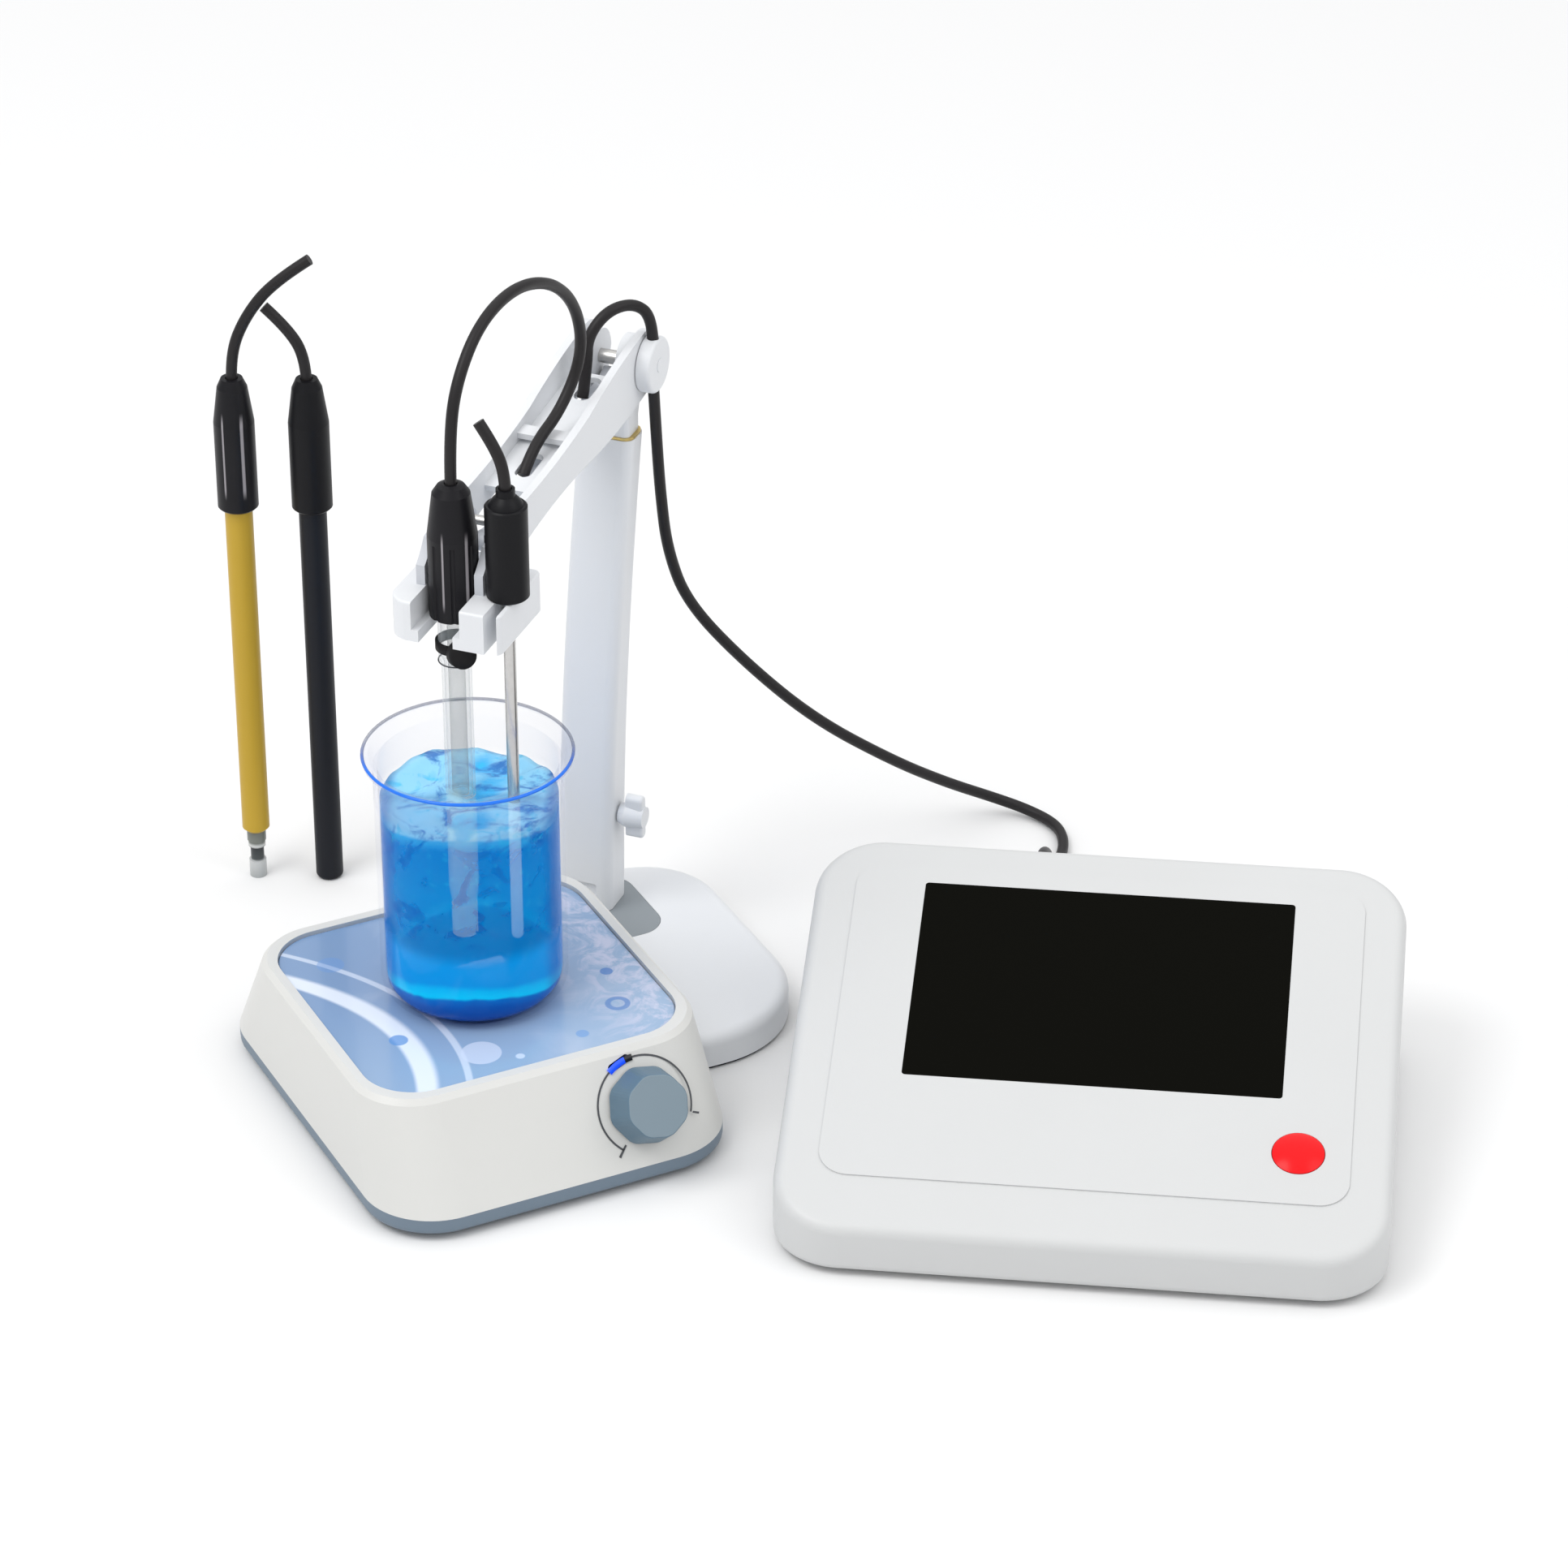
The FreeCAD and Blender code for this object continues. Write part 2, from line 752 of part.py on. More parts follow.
def make_slope_pieces():
    """Glass, display, button and switch, each in the frame of the sloping top."""
    top = meter.move(0, -cell.meter_depth / 2, cell.meter_front).tilt(cell.meter_slope)
    glass = new_body("screen_glass", top)
    sketch = new_sketch(glass, Frame().move(0, 0, cell.panel_rise - cell.glass_thickness))
    gap = 4 * cell.running_gap
    rounded_rectangle(sketch, cell.screen_width - gap, cell.screen_length - gap, 1.4, 0, screen_middle)
    pad(glass, sketch, cell.glass_thickness)

    display = new_body("display_module", top)
    face = -cell.meter_wall - cell.side_gap / 4
    sketch = new_sketch(display, Frame().move(0, 0, face))
    margin = 2 * cell.display_margin
    rounded_rectangle(sketch, cell.screen_width + margin, cell.screen_length + margin, 2, 0, screen_middle)
    pad(display, sketch, cell.display_thickness, down=True)
    frame_cut = new_sketch(display, Frame().move(0, 0, face))
    rounded_rectangle(frame_cut, cell.screen_width - margin, cell.screen_length - margin, 1,
                      0, screen_middle)
    pocket(display, frame_cut, cell.panel_rise)

    spot = top.move(cell.button_x, cell.button_up)
    radius, flat = cell.button_radius, cell.panel_rise + 0.2
    skirt = -cell.meter_wall - cell.side_gap / 2
    foot = skirt - cell.button_skirt
    dome_bend = (radius * radius + cell.button_dome * cell.button_dome) / (2 * cell.button_dome)
    profile = [(0, foot), (radius + 2, foot), (radius + 2, skirt), (radius, skirt), (radius, flat),
               (0, flat + cell.button_dome)]
    button = turned("power_button", spot, profile, {4: dome_bend})

    switch = new_body("button_switch", spot)
    board_top = -cell.meter_wall - switch_gap - cell.side_gap / 4
    board = new_sketch(switch, Frame().move(0, 0, board_top))
    rounded_rectangle(board, cell.post_spacing + 4 * cell.post_radius, cell.switch_size * 2, 1)
    pad(switch, board, cell.switch_board, down=True)
    block = new_sketch(switch, Frame().move(0, 0, board_top))
    rounded_rectangle(block, cell.switch_size, cell.switch_size, 1)
    pad(switch, block, foot - cell.button_travel - cell.side_gap - board_top)
    return [glass, display, button, switch]


def make_main_board():
    body = new_body("main_board", meter.move(0, cell.board_back, cell.board_height))
    pad(body, rounded_rectangle(new_sketch(body), cell.board_width, cell.board_depth, 2),
        cell.board_thickness)
    chips = new_sketch(body, Frame().move(0, 0, cell.board_thickness))
    rounded_rectangle(chips, 14, 14, 0.5, -20, 5)
    rounded_rectangle(chips, 9, 6, 0.5, 12, -12)
    rounded_rectangle(chips, 20, 6, 0.5, 50, 30)
    pad(body, chips, 2)
    return body


def socket_frame(x, z):
    """Z points out of the back wall and the origin lies on its outer face."""
    return meter.move(x, cell.meter_depth / 2, z).tilt(-90)


def make_sockets():
    wall = cell.meter_wall
    radius, length, flange = cell.bnc_radius, cell.bnc_length, cell.bnc_flange
    inner = -wall - cell.side_gap / 4
    nut, thick = cell.bnc_nut, cell.nut_thickness
    barrel = [(0, inner - 8), (flange, inner - 8), (flange, inner), (radius, inner), (radius, 0), (nut, 0),
              (nut, thick), (radius, thick), (radius, length), (radius - 1, length), (radius - 1, 3),
              (1.2, 3), (1.2, length - 2), (0, length - 2)]
    bnc = [turned("bnc_socket", socket_frame(x, cell.socket_height), barrel) for x in socket_x[:2]]
    ring = cell.round_socket_radius
    face = 1.2
    cup = [(0, inner - 10), (ring + 2, inner - 10), (ring + 2, inner), (ring, inner), (ring, face),
           (ring - 1.2, face), (ring - 1.2, -4), (0, -4)]
    probes = [turned("probe_socket", socket_frame(x, cell.socket_height), cup) for x in socket_x[2:4]]
    jack = cell.jack_radius
    power = [(0, inner - 9), (jack + 1.5, inner - 9), (jack + 1.5, inner), (jack, inner), (jack, 1),
             (jack - 1.6, 1), (jack - 1.6, -8), (1, -8), (1, -1), (0, -1)]
    meter_jack = turned("power_jack", socket_frame(socket_x[5], cell.socket_height), power)
    stirrer_jack = turned("power_jack", stirrer_jack_frame, power)
    usb = new_body("usb_socket", socket_frame(socket_x[4], cell.socket_height))
    rounded_rectangle(new_sketch(usb, Frame().move(0, 0, 0.5)), cell.usb_width, cell.usb_height, 0.5)
    pad(usb, usb.Group[-1], cell.usb_depth, down=True)
    mouth = new_sketch(usb, Frame().move(0, 0, 0.5))
    rounded_rectangle(mouth, cell.usb_width - 1.6, cell.usb_height - 1.6, 0.3)
    pocket(usb, mouth, cell.usb_depth - 2)
    tongue = new_sketch(usb, Frame().move(0, 0, 2.5 - cell.usb_depth))
    rounded_rectangle(tongue, cell.usb_width / 2, cell.usb_height / 3, 0.2)
    pad(usb, tongue, cell.usb_depth - 5)
    return [group("bnc_sockets", bnc), group("probe_sockets", probes),
            group("power_jacks", [meter_jack, stirrer_jack]), usb]


# Feet and screws of both units
def foot_places(width, depth, inset):
    return [(side * (width / 2 - inset), back * (depth / 2 - inset))
            for side in (-1, 1) for back in (-1, 1)]


def make_feet_and_screws():
    inset = cell.boss_inset + 14
    height, radius = cell.rubber_foot, cell.rubber_foot_radius
    profile = [(0, 0), (radius - 0.8, 0), (radius, 0.8), (radius, height), (0, height)]
    feet = [turned("rubber_foot", meter.move(x, y), profile)
            for x, y in foot_places(cell.meter_width, cell.meter_depth, inset)]
    feet += [turned("rubber_foot", stirrer.move(x, y), profile)
             for x, y in foot_places(cell.stirrer_width, cell.stirrer_depth, inset)]
    head, thick, shank = cell.screw_head_radius, cell.screw_head, cell.screw_radius
    screw = [(0, 0), (head, 0), (head, thick), (shank, thick), (shank, cell.boss_top), (0, cell.boss_top)]
    places = [meter.move(x, y, height) for x, y in screw_places()]
    places += [stirrer.move(x, y, height) for x, y in stirrer_screw_places()]
    screws = [turned("case_screw", place, screw) for place in places]
    return [group("rubber_feet", feet), group("case_screws", screws)]


def stirrer_screw_places():
    across = cell.stirrer_width / 2 - cell.boss_inset
    along = cell.stirrer_depth / 2 - cell.boss_inset
    return [(side * across, back * along) for side in (-1, 1) for back in (-1, 1)]


# Stirrer housing: the front and back walls lean inwards
front_run = (cell.stirrer_depth - cell.rim_depth) / 2
wall_rise = cell.stirrer_height - cell.rim_edge - cell.band_top
front_lean = angle_of(front_run / wall_rise)
knob_y = -cell.stirrer_depth / 2 + front_run * (cell.knob_height - cell.band_top) / wall_rise
knob_spot = Frame().move(cell.knob_x, knob_y, cell.knob_height).tilt(90 - front_lean)
jack_y = cell.stirrer_depth / 2 - front_run * (cell.socket_height / 2 - cell.band_top) / wall_rise
jack_spot = Frame().move(0, jack_y, cell.socket_height / 2).tilt(front_lean - 90)
stirrer_jack_frame = Frame(f"{stirrer.text} * {jack_spot.text}", stirrer.value.multiply(jack_spot.value))
knob_frame = Frame(f"{stirrer.text} * {knob_spot.text}", stirrer.value.multiply(knob_spot.value))
plate_top = cell.stirrer_height - cell.plate_sink
plate_bottom = plate_top - cell.plate_thickness
ledge_bottom = plate_bottom - cell.stirrer_wall
fit_gap = cell.side_gap / 2


def housing_size(bottom, top, height):
    """A width of the housing at a height, between its band and its rim."""
    return bottom + (top - bottom) * (height - cell.band_top) / wall_rise


def make_stirrer_housing():
    body = new_body("stirrer_housing", stirrer)
    low = new_sketch(body, Frame().move(0, 0, cell.band_top))
    rounded_rectangle(low, cell.stirrer_width, cell.stirrer_depth, cell.stirrer_corner)
    high = new_sketch(body, Frame().move(0, 0, cell.stirrer_height - cell.rim_edge))
    rounded_rectangle(high, cell.rim_width, cell.rim_depth, cell.rim_corner)
    rim = new_sketch(body, Frame().move(0, 0, cell.stirrer_height))
    bevel = 2 * cell.rim_edge
    rounded_rectangle(rim, cell.rim_width - bevel, cell.rim_depth - bevel, cell.rim_corner - cell.rim_edge)
    loft(body, [low, high, rim])
    double_wall = 2 * cell.stirrer_wall
    low = new_sketch(body, Frame().move(0, 0, cell.band_top))
    rounded_rectangle(low, cell.stirrer_width - double_wall, cell.stirrer_depth - double_wall,
                      cell.stirrer_corner - cell.stirrer_wall)
    high = new_sketch(body, Frame().move(0, 0, ledge_bottom))
    rounded_rectangle(high, housing_size(cell.stirrer_width, cell.rim_width, ledge_bottom) - double_wall,
                      housing_size(cell.stirrer_depth, cell.rim_depth, ledge_bottom) - double_wall,
                      housing_size(cell.stirrer_corner, cell.rim_corner, ledge_bottom) - cell.stirrer_wall)
    loft(body, [low, high], cut=True)
    recess = new_sketch(body, Frame().move(0, 0, cell.stirrer_height))
    rounded_rectangle(recess, cell.plate_width + 2 * fit_gap, cell.plate_depth + 2 * fit_gap,
                      cell.plate_corner + fit_gap)
    pocket(body, recess, cell.plate_sink + cell.plate_thickness)
    opening = new_sketch(body, Frame().move(0, 0, cell.stirrer_height))
    ledge = 2 * cell.plate_ledge
    rounded_rectangle(opening, cell.plate_width - ledge, cell.plate_depth - ledge,
                      cell.plate_corner - cell.plate_ledge)
    pocket(body, opening, cell.stirrer_height - ledge_bottom + 1)
    for spot, radius in ((knob_spot, cell.pot_bush_radius), (jack_spot, cell.jack_radius)):
        hole = circle(new_sketch(body, spot), radius + cell.running_gap)
        pocket(body, hole, 6 * cell.stirrer_wall, symmetric=True)
    lamp = new_sketch(body, Frame(f"{knob_spot.text} * {lamp_spot.text}",
                                  knob_spot.value.multiply(lamp_spot.value)))
    rounded_rectangle(lamp, cell.lamp_length + fit_gap, cell.lamp_width + fit_gap,
                      (cell.lamp_width + fit_gap) / 2 - 0.05)
    pocket(body, lamp, 6 * cell.stirrer_wall, symmetric=True)
    return body


lamp_spot = Frame().turn(cell.lamp_turn).move(0, cell.lamp_radius)


def make_stirrer_base_pan():
    body = new_body("stirrer_base_pan", stirrer)
    bottom, wall = cell.rubber_foot, cell.stirrer_wall
    outline = new_sketch(body, Frame().move(0, 0, bottom))
    pad(body, rounded_rectangle(outline, cell.stirrer_width, cell.stirrer_depth, cell.stirrer_corner),
        cell.band_top - bottom)
    fillet(body, cell.bottom_edge, level_edge(bottom))
    hollow(body, wall, face_at(cell.band_top))
    posts = new_sketch(body, Frame().move(0, 0, bottom + wall / 2))
    for x, y in stirrer_screw_places():
        circle(posts, cell.boss_radius, x, y)
    pad(body, posts, cell.boss_top + 2 - bottom - wall / 2)
    stool = new_sketch(body, Frame().move(0, 0, bottom + wall / 2))
    circle(stool, cell.motor_radius + 3)
    circle(stool, cell.motor_radius + cell.running_gap)
    pad(body, stool, cell.band_top - bottom - wall / 2)
    holes = new_sketch(body, Frame().move(0, 0, bottom))
    heads = new_sketch(body, Frame().move(0, 0, bottom))
    for x, y in stirrer_screw_places():
        circle(holes, cell.screw_radius + cell.running_gap, x, y)
        circle(heads, cell.screw_head_radius + cell.running_gap, x, y)
    pocket(body, holes, cell.boss_top, up=True)
    pocket(body, heads, cell.screw_head, up=True)
    return body


def make_stirrer_top_plate():
    body = new_body("stirrer_top_plate", stirrer)
    outline = new_sketch(body, Frame().move(0, 0, plate_bottom))
    pad(body, rounded_rectangle(outline, cell.plate_width, cell.plate_depth, cell.plate_corner),
        cell.plate_thickness)
    chamfer(body, cell.plate_thickness / 6, level_edge(plate_top))
    return body


def make_speed_control():
    """Knob, shaft, potentiometer on its board and the lamp above them."""
    gap, depth = cell.knob_gap, cell.knob_depth
    wide, narrow = cell.knob_radius, cell.knob_face_radius
    bore = cell.shaft_radius + cell.running_gap
    face = gap + depth
    round_edge = 1.6
    profile = [(bore, gap), (bore, face - 4), (0, face - 4), (0, face), (narrow - round_edge, face),
               (narrow, face - round_edge), (wide, gap)]
    knob = turned("speed_knob", knob_frame, profile, {4: -round_edge * 1.01})
    mark = new_sketch(knob, Frame().move(0, 0, face))
    rounded_rectangle(mark, 1.6, narrow / 2, 0.7, 0, narrow * 0.6)
    pocket(knob, mark, 0.6)
    wall = cell.stirrer_wall / cosine(front_lean)
    inner = -wall - 2
    shaft = turned("pot_shaft", knob_frame, [(0, inner), (cell.shaft_radius, inner),
                                             (cell.shaft_radius, face - 4.3), (0, face - 4.3)])
    bush = cell.shaft_radius + cell.running_gap
    back = inner - cell.side_gap
    pot = turned("speed_pot", knob_frame,
                 [(0, back - cell.pot_depth), (cell.pot_radius, back - cell.pot_depth),
                  (cell.pot_radius, -wall - cell.side_gap / 4),
                  (cell.pot_bush_radius, -wall - cell.side_gap / 4),
                  (cell.pot_bush_radius, gap / 2), (bush, gap / 2), (bush, back), (0, back)])
    board = new_sketch(pot, Frame().move(0, 0, back - cell.pot_depth))
    pad(pot, rounded_rectangle(board, 4 * cell.pot_radius, 2.4 * cell.pot_radius, 1), 1.6, down=True)
    lamp = new_body("speed_lamp", Frame(f"{knob_frame.text} * {lamp_spot.text}",
                                        knob_frame.value.multiply(lamp_spot.value)))
    outline = new_sketch(lamp, Frame().move(0, 0, 0.3))
    rounded_rectangle(outline, cell.lamp_length, cell.lamp_width, cell.lamp_width / 2 - 0.05)
    pad(lamp, outline, cell.stirrer_wall + 1, down=True)
    return [knob, shaft, pot, lamp]


# Stirrer drive: the motor stands in its cup and turns a carrier with two magnets
motor_bottom = cell.rubber_foot + cell.stirrer_wall
motor_top = motor_bottom + cell.motor_height
carrier_bottom = motor_top + 3


def make_drive():
    bush = cell.motor_shaft + 2.4
    motor = turned("drive_motor", stirrer,
                   [(0, motor_bottom), (cell.motor_radius, motor_bottom), (cell.motor_radius, motor_top),
                    (bush, motor_top), (bush, motor_top + 1.5), (cell.motor_shaft, motor_top + 1.5),
                    (cell.motor_shaft, carrier_bottom + cell.carrier_thickness - 1),
                    (0, carrier_bottom + cell.carrier_thickness - 1)])
    top = carrier_bottom + cell.carrier_thickness
    hub = cell.motor_shaft + cell.running_gap
    carrier = turned("magnet_carrier", stirrer,
                     [(hub, carrier_bottom), (cell.carrier_radius, carrier_bottom),
                      (cell.carrier_radius, top), (0, top), (0, top - 0.7), (hub, top - 0.7)])
    half = cell.magnet_spacing / 2
    sockets = new_sketch(carrier, Frame().move(0, 0, top))
    for side in (-1, 1):
        circle(sockets, cell.magnet_radius + cell.running_gap, side * half)
    pocket(carrier, sockets, cell.magnet_height / 2)
    magnets = new_body("drive_magnets", stirrer)
    outline = new_sketch(magnets, Frame().move(0, 0, top - cell.magnet_height / 2))
    for side in (-1, 1):
        circle(outline, cell.magnet_radius, side * half)
    pad(magnets, outline, cell.magnet_height)
    return [motor, carrier, magnets]


# Beaker with its sample and stir bar, standing on the plate
beaker_inside = cell.beaker_radius - cell.beaker_wall
floor_top = plate_top + cell.beaker_floor
rim_top = plate_top + cell.beaker_height
bar_middle = floor_top + cell.bar_radius + cell.side_gap
probe_tip = floor_top + cell.tip_height


def make_beaker():
    outside, wall, bend = cell.beaker_radius, cell.beaker_wall, cell.beaker_bend
    flare, drop = cell.rim_flare, cell.rim_flare
    profile = [(0, plate_top), (outside - bend, plate_top), (outside, plate_top + bend),
               (outside, rim_top - drop - wall), (outside + flare, rim_top - wall),
               (outside + flare - wall / 4, rim_top), (beaker_inside + flare - wall / 2, rim_top),
               (beaker_inside, rim_top - drop), (beaker_inside, floor_top + bend - wall),
               (beaker_inside - bend + wall, floor_top), (0, floor_top)]
    return turned("beaker", stirrer, profile, {1: bend * half_turn, 8: -(bend - wall) * half_turn})


def stand_spot(x, y):
    """A place of the stand seen from the stirrer's middle."""
    return Frame().move(foot_x, foot_y).turn(stand_turn).move(x, y)


def make_sample_liquid():
    gap = cell.side_gap / 2
    radius, bend = beaker_inside - gap, cell.beaker_bend - cell.beaker_wall
    bottom, surface = floor_top + gap, floor_top + cell.liquid_height
    profile = [(0, bottom), (radius - bend, bottom), (radius, bottom + bend), (radius, surface),
               (0, surface)]
    body = turned("sample_liquid", stirrer, profile, {1: bend * half_turn})
    swirl = new_sketch(body, Frame().move(0, 0, bottom))
    pocket(body, circle(swirl, cell.bar_length / 2 + 1.5), 2 * cell.bar_radius + 1, up=True)
    for x, radius in ((as_size(0), cell.ph_tube_radius), (cell.temp_side, cell.temp_rod_radius)):
        spot = stand_spot(x, -reach)
        well = Frame(f"{spot.text} * {Frame().move(0, 0, surface).text}",
                     spot.value.multiply(Placement(Vector(0, 0, surface.value), Rotation())))
        hole = circle(new_sketch(body, well), radius + 2 * gap)
        pocket(body, hole, surface - probe_tip + 2 * gap)
    return body


def make_stir_bar():
    body = new_body("stir_bar", stirrer.move(0, 0, bar_middle))
    radius, half = cell.bar_radius, cell.bar_length / 2
    ring = radius + 0.35
    profile = [(-half, 0), (-half, radius - 1), (1 - half, radius), (-1.2, radius), (-1, ring),
               (1, ring), (1.2, radius), (half - 1, radius), (half, radius - 1), (half, 0)]
    sketch = polygon(new_sketch(body), profile)
    feature = body.newObject("PartDesign::Revolution", "Turned")
    feature.Profile = sketch
    feature.ReferenceAxis = (sketch, ["H_Axis"])
    feature.Angle = 360
    finish_feature(body, feature, "more")
    return body


# Stand base
inlay_x = cell.column_inset - cell.base_width / 2
inlay_y = cell.base_length / 2 - cell.base_behind


def base_corners(inset):
    """The base's four bends, from its outer rear corner round to the inner side."""
    bends = [cell.base_outer_back, cell.base_inner_back, cell.base_inner_front, cell.base_outer_front]
    return [bend - inset for bend in bends]


def inlay_outline(sketch, gap):
    return rounded_rectangle(sketch, cell.inlay_width + 2 * gap, cell.inlay_length + 2 * gap,
                             cell.inlay_corner + gap, inlay_x + cell.inlay_side, inlay_y - cell.inlay_forward)


def make_stand_base():
    body = new_body("stand_base", base)
    outline = new_sketch(body, Frame().move(0, 0, cell.sole_thickness))
    pad(body, rounded_rectangle(outline, cell.base_width, cell.base_length, base_corners(0)),
        cell.base_height - cell.sole_thickness)
    fillet(body, cell.base_edge, level_edge(cell.base_height))
    recess = new_sketch(body, Frame().move(0, 0, cell.base_height))
    pocket(body, inlay_outline(recess, fit_gap), cell.inlay_depth)
    bore = new_sketch(body, Frame().move(0, 0, cell.base_height))
    pocket(body, circle(bore, cell.spigot_radius + cell.running_gap, inlay_x, inlay_y),
           cell.spigot_length + 1)
    sole = new_body("base_sole", base)
    inset = 2 * cell.sole_inset
    rounded_rectangle(new_sketch(sole), cell.base_width - inset, cell.base_length - inset,
                      base_corners(cell.sole_inset))
    pad(sole, sole.Group[-1], cell.sole_thickness)
    inlay = new_body("base_inlay", base)
    outline = new_sketch(inlay, Frame().move(0, 0, cell.base_height - cell.inlay_depth))
    inlay_outline(outline, 0)
    circle(outline, cell.spigot_radius + fit_gap, inlay_x, inlay_y)
    pad(inlay, outline, cell.inlay_depth)
    return [body, sole, inlay]


# Column: a foot with its spigot, a leaning shell, a thin collar and the head with two ears
foot_bottom = cell.base_height + cell.side_gap / 2
foot_top = foot_bottom + cell.foot_height
column_top = cell.hub_height - cell.head_height


def column_section(body, share):
    """The column's outline at a share of its height: it narrows upwards and leans away."""
    height = foot_top + share * (column_top - foot_top)
    back = cell.column_lean * share ** 1.6
    width = cell.column_width + (cell.foot_width + 2 - cell.column_width) * (1 - share)
    depth = cell.column_depth + (cell.foot_depth - cell.column_depth) * (1 - share)
    sketch = new_sketch(body, Frame().move(0, back, height))
    return rounded_rectangle(sketch, width, depth, 4.5)


def make_column():
    foot = new_body("column_foot", stand)
    low = new_sketch(foot, Frame().move(0, 0, foot_bottom))
    rounded_rectangle(low, cell.foot_width + 1, cell.foot_depth + 1, 5)
    high = new_sketch(foot, Frame().move(0, 0, foot_top))
    rounded_rectangle(high, cell.foot_width + 2, cell.foot_depth, 4.5)
    loft(foot, [low, high])
    spigot = new_sketch(foot, Frame().move(0, 0, foot_bottom))
    pad(foot, circle(spigot, cell.spigot_radius), cell.spigot_length, down=True)
    window = new_sketch(foot, Frame().move(0, -cell.foot_depth / 2, foot_top - 8).tilt(90))
    pocket(foot, rounded_rectangle(window, cell.foot_window, 6, 1), 3, symmetric=True)

    shell = new_body("column_shell", stand)
    loft(shell, [column_section(shell, share) for share in (0, 0.34, 0.67, 1)], ruled=False)
    bore = new_sketch(shell, clamp_spot)
    pocket(shell, circle(bore, cell.clamp_radius + cell.running_gap), 2 * cell.clamp_depth, symmetric=True)

    collar = new_body("brass_collar", stand.move(0, cell.column_lean, column_top))
    rounded_rectangle(new_sketch(collar), cell.column_width - 1, cell.column_depth - 1, 4)
    pad(collar, collar.Group[-1], cell.collar_thickness)
    return [foot, shell, collar]


clamp_share = (cell.clamp_height - foot_top) / (column_top - foot_top)
clamp_side = (cell.column_width + (cell.foot_width + 2 - cell.column_width) * (1 - clamp_share)) / 2
clamp_back = cell.column_lean * Size(f"({clamp_share.text})^1.6", clamp_share.value ** 1.6)
clamp_spot = Frame().move(clamp_side, clamp_back, cell.clamp_height).spin((0, 1, 0), 90)


def make_clamp_knob():
    frame = Frame(f"{stand.text} * {clamp_spot.text}", stand.value.multiply(clamp_spot.value))
    hub, start, length = cell.clamp_hub, cell.clamp_start, cell.clamp_length
    end = 1 - cell.clamp_depth
    body = turned("clamp_knob", frame,
                  [(0, end), (cell.clamp_radius, end), (cell.clamp_radius, start),
                   (hub - 1, start), (hub, start + 3), (hub - 1, start + length), (0, start + length)])
    wings = new_sketch(body, Frame().move(0, 0, start + 3))
    rounded_rectangle(wings, cell.clamp_span, 5, 2.4)
    pad(body, wings, length - 3.5)
    fillet(body, 1.2, lambda edge: abs(edge.BoundBox.ZMin - start.value - length.value + 0.5) < 1e-3
           and abs(edge.BoundBox.ZMax - start.value - length.value + 0.5) < 1e-3
           and edge.BoundBox.DiagonalLength > 3 and abs(edge.CenterOfMass.x) > 5)
    return body


# The head carries the axle between two ears; the lower link's pin crosses the same slot
head_bottom = column_top + cell.collar_thickness


def make_column_head():
    body = new_body("column_head", stand)
    back, height, radius = cell.hub_back, cell.hub_height, cell.hub_radius
    half = cell.head_depth / 2
    profile = [(cell.column_lean - half, head_bottom), (cell.column_lean + half, head_bottom),
               (cell.column_lean + half, head_bottom + 6), (back + radius, height),
               (back - radius, height), (cell.column_lean - half, head_bottom + 6)]
    side = polygon(new_sketch(body, SIDE), profile, {3: radius * half_turn})
    pad(body, side, cell.head_width, symmetric=True)
    fillet(body, 2.5, lambda edge: edge.BoundBox.XLength < 1e-6 and edge.BoundBox.ZLength > 5)
    slot = new_sketch(body, SIDE)
    slot_floor = height - cell.link_drop - cell.link_radius - 1.6
    polygon(slot, [(back - 20, slot_floor), (back + 20, slot_floor), (back + 20, height + 20),
                   (back - 20, height + 20)])
    pocket(body, slot, cell.head_slot, symmetric=True)
    pins = new_sketch(body, SIDE)
    circle(pins, cell.axle_radius + cell.running_gap, back, height)
    circle(pins, cell.pin_radius + cell.running_gap, back, height - cell.link_drop)
    pocket(body, pins, 2 * cell.head_width, symmetric=True)
    return body


cheek_outer = cell.arm_width / 2
cap_start = cheek_outer + cell.side_gap
cap_middle = cap_start + cell.cap_length / 2


def make_axle_and_cap():
    hub = stand.move(0, cell.hub_back, cell.hub_height).spin((0, 1, 0), 90)
    pin = cell.axle_radius
    axle = turned("axle", hub,
                  [(0, -cheek_outer - 2), (pin + 2, -cheek_outer - 2), (pin + 2, -cheek_outer - 0.3),
                   (pin, -cheek_outer - 0.3), (pin, cap_start + 6), (0, cap_start + 6)])
    drop = stand.move(0, cell.hub_back, cell.hub_height - cell.link_drop).spin((0, 1, 0), 90)
    half = cell.head_width / 2 - 0.3
    link_pin = turned("link_pin", drop, [(0, -half), (cell.pin_radius, -half), (cell.pin_radius, half),
                                         (0, half)])
    end = cap_start + cell.cap_length
    radius = cell.hub_radius + 0.5
    bore = pin + cell.running_gap
    cap = turned("hub_cap", hub,
                 [(bore, cap_start), (radius, cap_start), (radius, end - 1.5), (radius - 1.5, end),
                  (0, end), (0, cap_start + 6.3), (bore, cap_start + 6.3)], {2: 1.6})
    for side in (-1, 1):
        gland = Frame().move(side * (radius - 1.2), 0, cap_middle).spin((0, 1, 0), 90)
        hole = circle(new_sketch(cap, gland), cell.cord_diameter / 2 + 0.1)
        pocket(cap, hole, 2.4, symmetric=True)
    return [group("hub_axle", [axle, link_pin]), cap]


# Arm: a channel with S-shaped cheeks that carries the cord, with the level link below its floor
arm_length = (reach + cell.hub_back - cell.bracket_reach) / cosine(cell.arm_tilt)
arm = stand.move(0, cell.hub_back, cell.hub_height).tilt(cell.arm_tilt)
inner_half = cell.arm_width / 2 - cell.arm_wall


